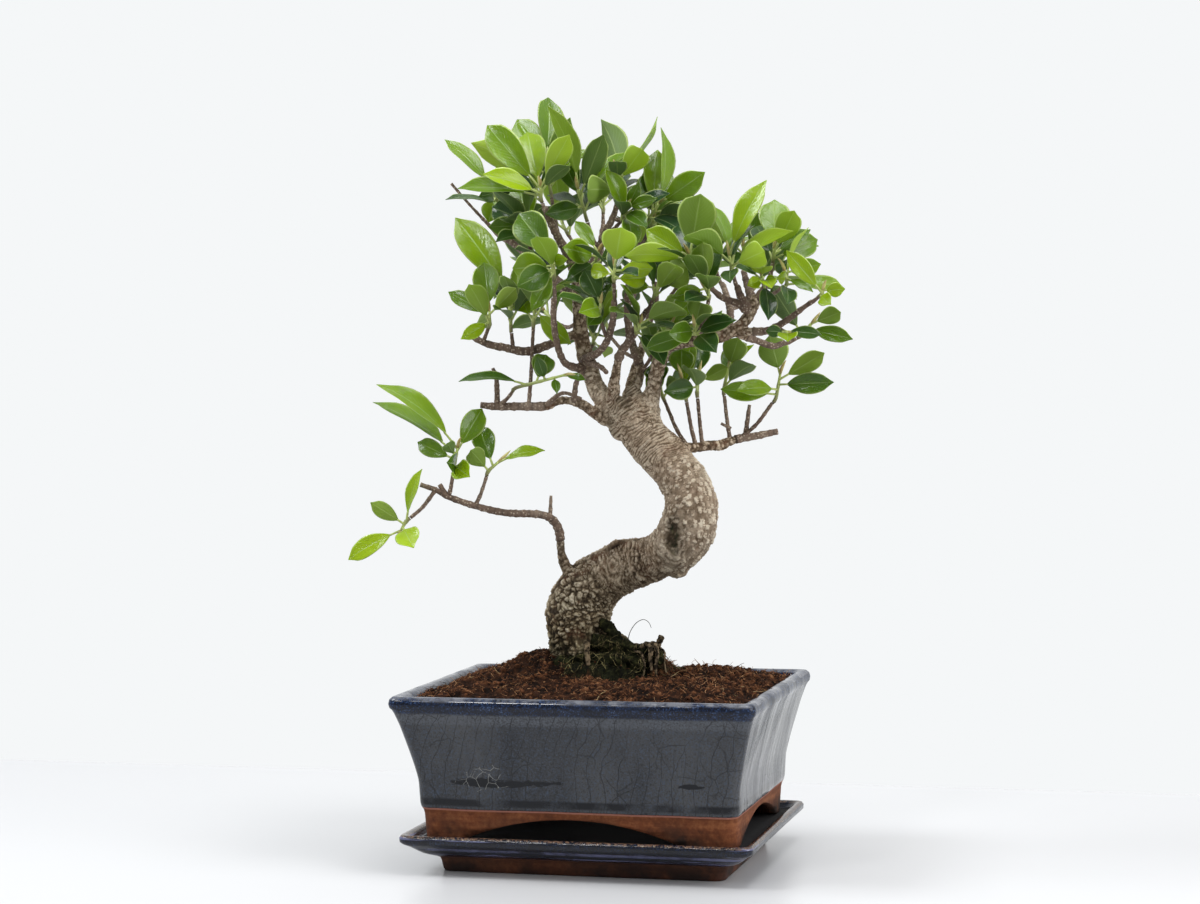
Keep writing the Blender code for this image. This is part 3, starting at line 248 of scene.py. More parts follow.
# Leafy stems: where the twig starts and ends, the stem's tip, the number of further leaves,
# their length, and the tips (x, y, z) and widths of the leaves that show in the photograph
Stem = namedtuple("Stem", "name start end tip more length leaves")
STEMS = (
    Stem("low_tip", (-88, -26, 203), (-101, -31, 188), (-106, -33, 181), 0, 30,
         ((-120, -42, 197, 9), (-92, -52, 173, 14), (-92, -36, 215, 6), (-136, -35, 165, 11))),
    Stem("low_mid", (-81, -24, 200), (-78, -25, 212), (-75, -26, 226), 0, 34,
         ((-100, -20, 229, 10), (-61, -48, 211, 12), (-74, -50, 219, 12), (-75, -44, 229, 8),
          (-128, -14, 251, 9), (-65, -12, 247, 13), (-120, -30, 261, 10))),
    Stem("low_inner", (-67, -21, 194), (-60, -22, 210), (-53, -22, 218), 0, 32,
         ((-65, -34, 225, 11), (-27, -20, 224, 6), (-67, -12, 237, 13))),
    Stem("mid_spray", (-55, -13, 249), (-46, -17, 256), (-14, -24, 265), 0, 20,
         ((-72, -32, 262, 5), (-28, -30, 275, 7), (-28, -12, 276, 13), (-16, -34, 255, 5),
          (-2, -26, 262, 4))),
    Stem("left_tip", (-62, -20, 283), (-58, -22, 290), (-57, -22, 300), 1, 32,
         ((-69, -36, 285, 8), (-69, -8, 293, 9), (-81, -20, 311, 9), (-38, -34, 312, 10),
          (-62, -14, 327, 15))),
    Stem("left_inner", (-46, -14, 279), (-47, -14, 288), (-47, -14, 309), 4, 34,
         ((-80, -8, 352, 17),)),
    Stem("left_post", (-39, -10, 248), (-34, -16, 290), (-33, -16, 301), 4, 36,
         ((-12, -20, 281, 11),)),
    Stem("front_left", (-17, -32, 304), (-16, -36, 315), (-15, -40, 328), 1, 36,
         ((-25, -50, 299, 10), (-31, -56, 312, 15), (-37, -44, 322, 17), (-6, -48, 322, 5),
          (-37, -30, 352, 19), (-4, -52, 326, 7))),
    Stem("crown_front", (-26, -13, 352), (-28, -15, 358), (-28, -18, 367), 1, 38,
         ((-75, -20, 367, 9), (-54, -40, 373, 10), (-43, 8, 399, 17), (-61, -8, 402, 17),
          (-7, -34, 393, 13))),
    Stem("crown_top", (-21, -8, 339), (-27, 0, 361), (-31, 2, 383), 1, 38,
         ((-73, -4, 397, 8), (-52, 16, 408, 16), (-16, -6, 406, 12), (-39, 26, 417, 17))),
    Stem("crown_far", (-57, 27, 338), (-64, 25, 355), (-68, 22, 370), 2, 34,
         ((-68, 14, 350, 12), (-71, 6, 364, 10), (-97, 26, 398, 9))),
    Stem("crown_low", (-46, 23, 329), (-45, 16, 340), (-45, 12, 350), 3, 36,
         ((-65, 4, 347, 11), (-66, 18, 359, 14))),
    Stem("crown_mid_left", (-3, 7, 333), (-8, 4, 348), (-12, 0, 366), 1, 38,
         ((-26, -18, 352, 11), (-27, 14, 390, 12), (5, -8, 395, 13), (-24, -16, 409, 7))),
    Stem("crown_mid", (7, 5, 353), (9, 4, 361), (9, 2, 375), 0, 38,
         ((1, -28, 364, 16), (30, -22, 385, 14), (2, 10, 389, 12), (-6, 22, 401, 8),
          (37, -4, 410, 15), (7, 16, 412, 13))),
    Stem("crown_right", (6, 6, 350), (23, 2, 348), (34, -2, 357), 0, 36,
         ((27, 8, 375, 16), (32, 10, 399, 8), (29, 18, 389, 13), (60, -4, 373, 14))),
    Stem("crown_dark", (1, 7, 342), (12, 0, 348), (17, -6, 355), 1, 30,
         ((25, -30, 332, 10), (33, -26, 343, 9), (36, -14, 359, 7), (25, -10, 368, 7))),
    Stem("centre_top", (19, 9, 333), (26, 6, 343), (29, 5, 350), 3, 34,
         ((46, 10, 355, 12), (45, 2, 338, 12))),
    Stem("front_bright", (17, -35, 302), (18, -40, 313), (19, -42, 322), 0, 36,
         ((4, -34, 321, 9), (32, -26, 316, 11), (38, -34, 321, 10), (26, -54, 342, 19))),
    Stem("leader_front", (-13, 0, 308), (-1, -16, 320), (5, -22, 331), 1, 34,
         ((-9, -38, 315, 11), (-11, -40, 332, 14), (-10, -14, 348, 8))),
    Stem("front_low", (10, -24, 284), (8, -30, 293), (9, -34, 303), 1, 34,
         ((6, -50, 291, 9), (2, -56, 298, 12), (-2, -28, 322, 13))),
    Stem("centre_green", (-11, 4, 275), (-10, 16, 280), (-10, 20, 287), 4, 32, ()),
    Stem("inner_right", (67, -23, 310), (61, -28, 319), (57, -31, 328), 0, 38,
         ((44, -14, 339, 14), (32, -4, 339, 12), (27, -52, 327, 11), (32, -24, 343, 14),
          (66, -42, 359, 21))),
    Stem("centre_up", (30, -20, 298), (35, -25, 304), (39, -28, 313), 2, 36,
         ((17, -8, 314, 11), (56, -34, 322, 17))),
    Stem("centre_low", (18, -12, 282), (24, -19, 286), (28, -24, 292), 2, 36,
         ((60, -54, 298, 11),)),
    Stem("up_right", (63, -22, 294), (66, -27, 303), (65, -30, 310), 4, 34,
         ((50, -44, 305, 9),)),
    Stem("up_olive", (61, -18, 288), (60, -28, 286), (60, -34, 290), 1, 30,
         ((50, -52, 286, 12), (66, -44, 302, 14))),
    Stem("mid_right", (19, 10, 266), (30, 2, 279), (39, -4, 290), 4, 32,
         ((39, -20, 298, 13),)),
    Stem("behind_fork", (11, 26, 264), (18, 36, 268), (20, 40, 277), 4, 34,
         ((17, 30, 252, 12),)),
    Stem("right_high", (80, -18, 310), (79, -24, 317), (78, -28, 327), 1, 36,
         ((101, -48, 328, 15), (65, -60, 333, 16), (64, -14, 355, 8), (99, -30, 366, 12))),
    Stem("right_back", (77, 15, 318), (75, 22, 326), (75, 22, 334), 2, 36,
         ((87, 6, 331, 9), (67, 34, 348, 11), (95, 20, 354, 14))),
    Stem("right_top", (95, -6, 315), (97, -7, 323), (98, -8, 331), 0, 36,
         ((118, 12, 336, 13), (116, 2, 341, 8), (95, 10, 358, 17), (112, -22, 350, 14))),
    Stem("right_small", (92, -6, 310), (93, -13, 312), (93, -17, 316), 1, 22,
         ((87, -26, 311, 7), (102, -20, 313, 7), (94, -22, 321, 12))),
    Stem("right_mid", (88, -6, 304), (103, -12, 310), (105, -14, 318), 2, 32,
         ((121, -20, 307, 5), (102, -26, 317, 8), (124, -12, 322, 10))),
    Stem("right_tip", (119, -22, 301), (124, -23, 304), (127, -24, 308), 0, 24,
         ((133, -34, 300, 8), (108, -26, 329, 10), (139, -26, 308, 8))),
    Stem("right_under", (101, -17, 290), (105, -22, 287), (108, -24, 286), 1, 20,
         ((97, -28, 287, 7), (110, -34, 281, 11))),
    Stem("right_fork_end", (98, 9, 280), (106, 10, 283), (115, 8, 291), 0, 34,
         ((138, 4, 282, 9), (96, -6, 311, 13), (132, 2, 296, 10))),
    Stem("low_right_far", (71, 29, 229), (89, 28, 248), (94, 26, 264), 0, 36,
         ((74, 2, 255, 9), (63, 14, 256, 11), (124, 24, 259, 12), (120, 18, 275, 11),
          (89, 22, 285, 17))),
    Stem("low_right_mid", (65, 28, 228), (63, 24, 252), (66, 22, 268), 2, 32,
         ((78, 28, 281, 5), (73, 16, 284, 14))),
    Stem("low_right_near", (52, 17, 225), (50, 15, 251), (51, 14, 263), 1, 34,
         ((35, -2, 255, 12), (69, 6, 268, 9), (50, 26, 280, 11))),
    Stem("low_right_inner", (49, 14, 225), (45, 10, 249), (43, 8, 262), 2, 32,
         ((36, 0, 259, 10), (42, 12, 278, 14))),
    Stem("low_right_thin", (45, 10, 225), (31, 18, 249), (28, 20, 257), 2, 32,
         ((23, 28, 269, 14),)),
    Stem("back_top", (-12, 51, 346), (-13, 56, 355), (-14, 60, 366), 5, 38, ()),
    Stem("back_left_high", (-12, 36, 324), (-32, 52, 343), (-39, 58, 354), 5, 38, ()),
    Stem("back_left", (-13, 20, 308), (-42, 48, 317), (-54, 56, 323), 4, 38, ()),
    Stem("back_left_low", (-13, 6, 295), (-37, 40, 294), (-46, 48, 301), 4, 36, ()),
    Stem("back_mid", (16, 58, 313), (13, 64, 323), (13, 68, 334), 5, 38, ()),
    Stem("back_right_high", (15, 50, 297), (26, 66, 312), (30, 70, 322), 5, 38, ()),
    Stem("back_right", (61, 34, 312), (55, 44, 321), (52, 50, 332), 4, 38, ()),
    Stem("back_right_far", (68, 16, 299), (75, 44, 310), (80, 52, 318), 4, 36, ()),
    Stem("back_low", (13, 38, 278), (23, 58, 283), (29, 64, 290), 4, 36, ()),
    Stem("back_centre", (12, 34, 273), (-8, 52, 285), (-13, 60, 294), 4, 36, ()),
    Stem("rear_top", (12, 16, 305), (12, 32, 311), (13, 38, 320), 4, 36, ()),
)

# Lines through the mossy mound round the trunk's foot: x, y, z, radius
MOSS_LINES = (
    ((-3, 2, 129, 2.6), (2, 1, 126, 3.0), (7, 0, 120, 3.4), (13, 0, 114, 4.0), (21, -1, 113, 4.4),
     (27, -2, 113, 4.4), (30, -2, 106, 5.2)),
    ((-15, -6, 110, 3.6), (-6, -7, 109, 4.4), (4, -6, 108, 5.0), (14, -5, 107, 5.6),
     (25, -5, 105, 5.8)),
    ((-28, -1, 107, 3.5), (-22, -4, 107, 3.6), (-15, -6, 108, 3.6)),
    ((-7, -1, 118, 4.4), (1, -1, 117, 4.6), (9, -1, 115, 4.2)),
)

# Curled root stubs over that mound, and one loose hair root: x, y, z, radius
ROOT_STUBS = (
    ((21, -3, 116, 1.3), (25, -6, 118, 1.7), (27.5, -8, 115.5, 1.6), (27.5, -9, 110, 1.2),
     (28.5, -10, 104, 0.8)),
    ((25, -2, 117, 1.2), (29, -5.5, 118, 1.6), (31, -7.5, 113, 1.3), (30.4, -9, 106, 1.1),
     (31.4, -10, 100, 0.6)),
    ((29, -1, 115, 1.5), (31.2, -2, 119.5, 1.9), (32.3, -2, 122.3, 1.7)),
    ((31, -2, 116, 0.8), (34.2, -4, 113.5, 0.7), (34.4, -5, 108, 0.6), (35.4, -5.5, 102, 0.4)),
    ((18, -5, 114, 0.7), (22.5, -8.5, 113, 0.8), (24.6, -10.5, 107, 0.6), (24, -11.5, 101, 0.4)),
    ((-9, -6, 119, 1.9), (-8, -9.5, 114.5, 1.7), (-7, -11.5, 109, 1.5), (-6.5, -12, 103, 1.1)),
)
HAIR_ROOT = ((13, -2, 118, 0.24), (14.5, -2, 124, 0.22), (18, -2, 129, 0.20),
             (22, -2, 131, 0.18), (25, -2, 129.6, 0.16), (26.5, -2, 126.5, 0.14))

# Mossy spots higher up: centre, reach and strength
MOSS_SPOTS = (
    ((43.5, -17.0, 178.0), (6.4, 9.0, 13.0), 1.35), ((13.8, -5.0, 248.0), (5.0, 8.0, 6.0), 0.75),
    ((4.5, -1.0, 232.0), (5.0, 8.0, 9.0), 0.45),
)

# Knots in the bark: x, y, z, radius, spacing of the ridges round it, depth, and how far
# the ridges keep to its lower side
KNOTS = (
    (43, -17, 178, 9.8, 2.2, 3.2, 1.0), (-11, -4, 122, 6.0, 2.4, 0.8, 0.3),
    (24, 2, 218, 5.0, 2.4, 0.5, 0.0), (8, -8, 160, 5.0, 2.2, 0.3, 0.0),
    (38, -11, 190, 4.0, 2.2, 1.6, 0.0),
)

# Where a slit in the bark lies
WOUND = (8.6, -10.0, 171.6)

# Fine roots on the mossy foot, and the way a ray falls on it to find where they lie
FINE_ROOTS = 105
ROOT_RAY = Vector((0.0, 0.92, -0.39))

# Where small inner leaves may reach: lowest and highest x, y and z
CROWN_BOX = ((-84.0, 112.0), (-60.0, 96.0), (256.0, 405.0))

# Stems without inner leaves
BARE_TWIGS = ("low_tip", "low_mid", "low_inner", "mid_spray", "left_post", "low_right_far",
              "low_right_mid", "low_right_near", "low_right_inner", "low_right_thin",
              "right_fork_end", "right_tip", "right_under", "left_tip")

# Stems whose leaves are younger and brighter than the rest: young growth, and painted light where
# the crown is brightly lit
YOUNG_AND_LIT = {
    "front_bright": 0.50, "inner_right": 0.42, "right_high": 0.42, "right_small": 0.5,
    "right_top": 0.35, "crown_front": 0.22, "crown_top": 0.18, "front_left": 0.20,
    "low_tip": 0.34, "low_mid": 0.10, "left_tip": 0.30, "right_tip": 0.36, "right_mid": 0.38,
    "crown_mid": 0.12, "centre_up": 0.15, "low_right_far": 0.12,
}

# Settings of the scatter and their kinds
SCATTER_INPUTS = {"Density": "Float", "Smallest": "Float", "Largest": "Float", "Tilt": "Float",
                  "Seed": "Int", "Shapes": "Collection", "Finish": "Material"}

Leaf = namedtuple("Leaf", "base tip normal width bow")


def loft(rings):
    """Points and faces of a closed skin through rings of equal counts, capped at both ends."""
    count = len(rings[0])
    points = [point for ring in rings for point in ring]
    faces = [list(range(count))[::-1]]
    for level in range(len(rings) - 1):
        low = level * count
        high = low + count
        for side in range(count):
            following = (side + 1) % count
            faces.append([low + side, low + following, high + following, high + side])
    last = (len(rings) - 1) * count
    faces.append(list(range(last, last + count)))
    return points, faces


def grid_faces(width, rows):
    """Faces between the points of a grid, so many points wide and so many faces high."""
    return [(start, start + 1, start + width + 1, start + width)
            for row in range(rows) for start in range(row * width, (row + 1) * width - 1)]


def frame_along(points):
    """Tangents and a pair of sides that turn as little as they can along a line."""
    tangents, sides = [], []
    side = Vector((0.0, 1.0, 0.0))
    for place in range(len(points)):
        ahead = points[min(place + 1, len(points) - 1)].xyz
        behind = points[max(place - 1, 0)].xyz
        along = (ahead - behind).normalized()
        side = side - along * side.dot(along)
        side = side.normalized() if side.length > 0.05 else along.orthogonal().normalized()
        tangents.append(along)
        sides.append(side.copy())
    return tangents, sides


def swept(line, sides, swell=lambda place, turn: 1.0):
    """A closed tube along a line of x, y, z and radius, its radius changed by a rule."""
    tangents, normals = frame_along(line)
    rings = []
    for place, (point, along, side) in enumerate(zip(line, tangents, normals)):
        other = along.cross(side)
        rings.append([point.xyz + (side * math.cos(math.tau * turn / sides)
                                   + other * math.sin(math.tau * turn / sides))
                      * (point.w * swell(place, turn / sides)) for turn in range(sides)])
    return loft(rings)


def soil_height(x, y):
    """Height of the soil: low at the rim, domed inside, heaped up on the left of the trunk."""
    dome = 8.5 * (1.0 - (x / 93.0) ** 6) * (1.0 - (y / 73.0) ** 6)
    heap = 12.5 * math.exp(-((x + 36.0) / 24.0) ** 2 - ((y - 14.0) / 24.0) ** 2)
    return SOIL_EDGE + dome + heap


def smooth_route(route, step):
    """Points along a Catmull-Rom curve through a route, about one step apart."""
    knots = [Vector(knot) if len(knot) == 4 else Vector((*knot, 0.0)) for knot in route]
    knots = [knots[0] * 2 - knots[1], *knots, knots[-1] * 2 - knots[-2]]
    points = []
    for before, start, end, after in zip(knots, knots[1:], knots[2:], knots[3:]):
        length = (end.xyz - start.xyz).length
        pieces = max(1, round(length / step))
        for piece in range(pieces):
            t = piece / pieces
            points.append(0.5 * (2 * start + (end - before) * t
                                 + (2 * before - 5 * start + 4 * end - after) * t ** 2
                                 + (3 * start - before - 3 * end + after) * t ** 3))
    points.append(knots[-2])
    return points


def twig_route(stem):
    """A brown twig that leaves its branch outward and then turns up to the green stem."""
    start = Vector(stem.start)
    end = Vector(stem.end)
    middle = start.lerp(end, 0.5) + Vector((0.0, 0.0, -0.08 * (end - start).length))
    return smooth_route([(*start, TWIG_RADIUS * 1.25), (*middle, TWIG_RADIUS * 1.1),
                         (*end, TWIG_RADIUS)], 24.0)


def stem_route(stem, twig):
    """The green stem goes straight on from the twig's end, then bends to its own tip."""
    along = (twig[-1].xyz - twig[-2].xyz).normalized()
    foot = twig[-1].xyz + along * GAP
    wide, narrow = STEM_RADIUS
    return [Vector((*foot, wide)),
            *smooth_route([(*(foot + along * 3.0), wide), (*stem.tip, narrow)], 16.0)]


def point_on(points, share):
    """The place and direction at a share of the way along a stem."""
    lengths = [(b.xyz - a.xyz).length for a, b in zip(points, points[1:])]
    wanted = share * sum(lengths)
    for place, length in enumerate(lengths):
        if wanted <= length or place == len(lengths) - 1:
            a = points[place].xyz
            b = points[place + 1].xyz
            return a.lerp(b, min(1.0, wanted / length)), (b - a).normalized()
        wanted -= length


def half_width(share):
    """Half the blade's width, as a share of its full width, from its base to its tip."""
    return 0.5 * math.sin(math.pi * share ** 1.1) ** 0.65


def leaf_frame(leaf, share):
    """A point on the arched midrib, with the side and upper directions there."""
    chord = leaf.tip - leaf.base
    rise = leaf.bow * chord.length
    point = leaf.base + chord * share + leaf.normal * (rise * 4.0 * share * (1.0 - share))
    along = (chord + leaf.normal * (rise * 4.0 * (1.0 - 2.0 * share))).normalized()
    side = along.cross(leaf.normal).normalized()
    return point, side, side.cross(along).normalized()


def leaf_shape(leaf, swell=0.0, blade_only=False):
    """A blade with a stalk, of one thickness, with the same triangles on both faces."""
    foot, _, upper = leaf_frame(leaf, PETIOLE * 0.8 if blade_only else 0.0)
    flat = [(foot, upper)]
    for share in LONG_ROWS if (leaf.tip - leaf.base).length > LONG_LEAF else SHORT_ROWS:
        point, side, upper = leaf_frame(leaf, share)
        wide = leaf.width * half_width((share - PETIOLE) / (1.0 - PETIOLE))
        out = side * (max(wide, PETIOLE_HALF_WIDTH) + swell)
        flat += [(point - out, upper), (point + out, upper)]
    point, _, upper = leaf_frame(leaf, 1.0)
    flat.append((point + (leaf.tip - leaf.base).normalized() * swell, upper))
    half = LEAF_THICKNESS / 2.0 + swell
    points = [point + upper * half for point, upper in flat]
    points += [point - upper * half for point, upper in flat]
    top = len(flat) - 1
    outline = [0, *range(2, top, 2), top, *range(top - 2, 0, -2)]
    upper_faces = [(0, 1, 2), (top - 2, top, top - 1)]
    for left in range(1, top - 2, 2):
        upper_faces += [(left, left + 2, left + 1), (left + 1, left + 2, left + 3)]
    below = len(flat)
    faces = upper_faces + [(c + below, b + below, a + below) for a, b, c in upper_faces]
    for first, second in zip(outline, outline[1:] + outline[:1]):
        faces += [(first, second, second + below), (first, second + below, first + below)]
    return points, faces


def boxed(shape):
    """A shape's lowest and highest corners, and its faces ready for crossing tests."""
    points, faces = shape
    low = Vector([min(point[axis] for point in points) for axis in range(3)])
    high = Vector([max(point[axis] for point in points) for axis in range(3)])
    return low, high, BVHTree.FromPolygons(points, faces)


class Space:
    """What is already standing, so that each new leaf can be kept clear of it."""

    def __init__(self):
        self.items = []

    def add(self, shape, owner):
        self.items.append((*boxed(shape), owner))

    def free(self, shape, blade, owner):
        """True where the whole leaf clears other stems and its blade clears its own."""
        whole, own = boxed(shape), boxed(blade)
        for low, high, tree, other in self.items:
            mine_low, mine_high, mine = own if other == owner else whole
            apart = any(low[axis] > mine_high[axis] or high[axis] < mine_low[axis]
                        for axis in range(3))
            if not apart and mine.overlap(tree):
                return False
        return True


def turned(vector, axis, angle):
    return Matrix.Rotation(angle, 3, axis) @ vector


def leaning(axis, side, turn, lean):
    """A direction that leans away from a stem, on the side that a turn round it gives."""
    out = turned(side, axis, turn)
    return (axis * math.cos(lean) + out * math.sin(lean)).normalized()


def upper_side(base, tip, facing):
    """The direction nearest to a wanted one that is square to the leaf's chord."""
    along = (tip - base).normalized()
    normal = facing - along * facing.dot(along)
    if normal.length < 0.2:
        normal = along.orthogonal()
    return normal.normalized()


def seen_leaf(base, tip, axis, seen, chance, attempt):
    """A leaf turned so that it shows its width in the photograph."""
    along = (tip - base).normalized()
    full = max(seen, FULL_WIDTH * (tip - base).length * (1.0 - PETIOLE))
    normal = upper_side(base, tip, EYE - base)
    up = axis + TO_SKY
    if normal.dot(up) < 0.0:
        normal.negate()
    roll = math.acos(min(1.0, seen / full))
    turned_ways = [turned(normal, along, way * roll) for way in (1.0, -1.0)]
    normal = max(turned_ways, key=lambda way: way.dot(up))
    spread = 4.0 * attempt
    normal = turned(normal, along, math.radians(chance.uniform(-spread, spread)))
    return Leaf(base, tip, normal, full, chance.uniform(0.04, 0.10))


def further_leaf(base, tip, axis, width, chance):
    """A leaf with its upper face turned to the stem's tip and the sky."""
    along = (tip - base).normalized()
    normal = upper_side(base, tip, axis + TO_SKY)
    normal = turned(normal, along, math.radians(chance.uniform(-35.0, 35.0)))
    return Leaf(base, tip, normal, width, chance.uniform(0.05, 0.12))


def leaf_order(stem, green):
    """Where the leaves stand: the further ones lowest, the others by how far up they reach."""
    count = len(stem.leaves) + stem.more
    shares = [0.30 + 0.66 * place / max(1, count - 1) for place in range(count)]
    up = (green[-1].xyz - green[0].xyz).normalized()
    placed = sorted(stem.leaves, key=lambda leaf: Vector(leaf[:3]).dot(up))
    return shares[:stem.more], list(zip(shares[stem.more:], placed))


def grow_leaves(stem, number, green, space):
    """Leaves of one stem: first those listed, then the rest in a spiral."""
    chance = random.Random(SEED + number)
    further, placed = leaf_order(stem, green)
    leaves = []

    def keep(leaf):
        space.add(leaf_shape(leaf), number)
        leaves.append(leaf)

    def fits(leaf):
        return space.free(leaf_shape(leaf, CLEARANCE), leaf_shape(leaf, OWN_CLEARANCE, True),
                          number)

    for share, (x, y, z, width) in placed:
        base, axis = point_on(green, share)
        for attempt in range(ATTEMPTS):
            reach = 0.9 * attempt
            tip = Vector((x, y, z)) + Vector((chance.uniform(-0.3, 0.3), chance.uniform(-1, 1),
                                              chance.uniform(-0.3, 0.3))) * reach
            leaf = seen_leaf(base, tip, axis, width, chance, attempt)
            if fits(leaf):
                keep(leaf)
                break
    turn = chance.uniform(0.0, math.tau)
    for share in further:
        base, axis = point_on(green, share)
        side = axis.orthogonal().normalized()
        for attempt in range(ATTEMPTS):
            turn += GOLDEN_TURN if attempt == 0 else NEXT_TRY_TURN
            lean = math.radians(chance.uniform(38.0, 74.0) - 22.0 * share)
            along = leaning(axis, side, turn, lean)
            along.z = max(along.z, LOWEST_LEAN)
            length = stem.length * chance.uniform(0.85, 1.12)
            tip = base + along.normalized() * length
            width = length * chance.uniform(0.36, 0.46)
            leaf = further_leaf(base, tip, axis, width, chance)
            if fits(leaf):
                keep(leaf)
                break
    return leaves


# Making meshes

def note(mesh, **numbers):
    """Store a named number for each point of a mesh, for its material and what lies on it."""
    for name, values in numbers.items():
        mesh.attributes.new(name, "FLOAT", "POINT").data.foreach_set("value", values)


def mesh_piece(name, points, faces, finishes, slots=None, uvs=None, values=None):
    """A smooth-shaded object from points in millimetres.

    slots gives each face's finish, uvs each point's place on its own surface, and values the
    named numbers that the materials read.
    """
    mesh = bpy.data.meshes.new(name)
    mesh.from_pydata([Vector(point) * MM for point in points], [], faces)
    mesh.polygons.foreach_set("use_smooth", [True] * len(faces))
    for finish in finishes:
        mesh.materials.append(finish)
    if slots is not None:
        mesh.polygons.foreach_set("material_index", slots)
    if uvs is not None:
        layer = mesh.uv_layers.new(name="surface")
        corners = [0] * len(mesh.loops)
        mesh.loops.foreach_get("vertex_index", corners)
        layer.data.foreach_set("uv", np.array(uvs, dtype=np.float32)[corners].ravel())
    note(mesh, **(values or {}))
    item = bpy.data.objects.new(name, mesh)
    bpy.context.scene.collection.objects.link(item)
    return item


def tidy_normals(mesh):
    """Merge doubled points and turn every face outward."""
    work = bmesh.new()
    work.from_mesh(mesh)
    bmesh.ops.remove_doubles(work, verts=work.verts, dist=0.000001)
    bmesh.ops.recalc_face_normals(work, faces=work.faces)
    work.to_mesh(mesh)
    work.free()


def keep_result(item):
    """Make what the modifiers give the object's own plain mesh."""
    bpy.context.view_layer.update()
    evaluated = item.evaluated_get(bpy.context.evaluated_depsgraph_get())
    mesh = bpy.data.meshes.new_from_object(evaluated)
    item.modifiers.clear()
    item.data = mesh


def spots_of(mesh):
    """Every point of a mesh, in millimetres."""
    spots = np.zeros(len(mesh.vertices) * 3)
    mesh.vertices.foreach_get("co", spots)
    return spots.reshape(-1, 3) / MM


def push_out(mesh, spots, height):
    """Move each point of a mesh along its normal by a height in millimetres."""
    normals = np.array([item.vector for item in mesh.vertex_normals])
    mesh.vertices.foreach_set("co", ((spots + normals * height[:, None]) * MM).ravel())
    mesh.update()
    mesh.polygons.foreach_set("use_smooth", [True] * len(mesh.polygons))


def settle(item, slot, *nodes):
    """A finished piece rides on the part and stands for its CAD nodes; slot is not used."""
    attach(item, "root")
    if nodes:
        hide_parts(*nodes)


def ball(radius, subdivisions):
    """Points and faces of a ball of triangles."""
    work = bmesh.new()
    bmesh.ops.create_icosphere(work, subdivisions=subdivisions, radius=radius)
    points = [vertex.co.copy() for vertex in work.verts]
    faces = [[vertex.index for vertex in face.verts] for face in work.faces]
    work.free()
    return points, faces


class Skin:
    """Points, faces and their values, gathered for one piece."""

    def __init__(self, *names):
        self.points, self.faces, self.slots, self.uvs = [], [], [], []
        self.values = {name: [] for name in names}

    def add(self, points, faces, slot=0, uvs=None, **values):
        start = len(self.points)
        self.points += points
        self.faces += [[corner + start for corner in face] for face in faces]
        self.slots += slot if isinstance(slot, list) else [slot] * len(faces)
        self.uvs += uvs or [(0.5, 0.5)] * len(points)
        for name, number in values.items():
            numbers = number if isinstance(number, list) else [number] * len(points)
            self.values[name] += numbers

    def piece(self, name, finishes):
        return mesh_piece(name, self.points, self.faces, finishes, self.slots, self.uvs,
                          self.values)


# Fields of random numbers for bark and soil

def lattice(cells, seed):
    """A fixed random number from 0 to 1 for each whole-numbered cell."""
    mixed = (cells[..., 0] * 73856093 ^ cells[..., 1] * 19349663 ^ cells[..., 2] * 83492791
             ^ (seed * 7919 + 12345)) & 0x7fffffff
    mixed = ((mixed ^ (mixed >> 13)) * 1274126177) & 0x7fffffff
    mixed = ((mixed ^ (mixed >> 15)) * 971215073) & 0x7fffffff
    return ((mixed ^ (mixed >> 16)) & 0xffffff) / 0xffffff


def grain(places, seed):
    """Smooth random values from -1 to 1 at places given in cells."""
    low = np.floor(places).astype(np.int64)
    part = places - low
    part = part * part * (3.0 - 2.0 * part)
    total = np.zeros(len(places))
    for corner in itertools.product((0, 1), repeat=3):
        weight = np.ones(len(places))
        for axis in range(3):
            weight = weight * (part[:, axis] if corner[axis] else 1.0 - part[:, axis])
        total += weight * lattice(low + np.array(corner), seed)
    return 2.0 * total - 1.0


def rough_grain(places, seed, octaves=4):
    """Smooth random values with finer ones added, each half as strong as the last."""
    total = np.zeros(len(places))
    for octave in range(octaves):
        total += grain(places * 2.03 ** octave, seed + octave) * 0.5 ** octave
    return total


def cell_field(places, seed):
    """Distance in cells to the nearest scattered seed and the next, and the nearest's number."""
    low = np.floor(places).astype(np.int64)
    nearest = np.full(len(places), 9.0)
    following = np.full(len(places), 9.0)
    number = np.zeros(len(places))
    for step in itertools.product((-1, 0, 1), repeat=3):
        cell = low + np.array(step)
        seeds = cell + np.stack([lattice(cell, seed + axis) for axis in range(3)], axis=1)
        distance = np.linalg.norm(places - seeds, axis=1)
        following = np.minimum(following, np.maximum(nearest, distance))
        number = np.where(distance < nearest, lattice(cell, seed + 7), number)
        nearest = np.minimum(nearest, distance)
    return nearest, following, number


def ease(values, low, high):
    """0 below low, 1 above high and a smooth step between."""
    share = np.clip((values - low) / (high - low), 0.0, 1.0)
    return share * share * (3.0 - 2.0 * share)


# Nodes and materials

def feed(tree, socket, value):
    """Link a node's input to another node's output, or set it."""
    if isinstance(value, Value):
        value = value.socket
    if isinstance(value, bpy.types.NodeSocket):
        tree.links.new(value, socket)
    elif isinstance(value, tuple) and len(value) == 3 and socket.type == "RGBA":
        socket.default_value = (*value, 1.0)
    else:
        socket.default_value = value


def add_node(tree, kind, inputs=None, **settings):
    """A new node with its settings made and its inputs fed."""
    made = tree.nodes.new(kind)
    for key, value in settings.items():
        setattr(made, key, value)
    for key, value in (inputs or {}).items():
        feed(tree, made.inputs[key], value)
    return made


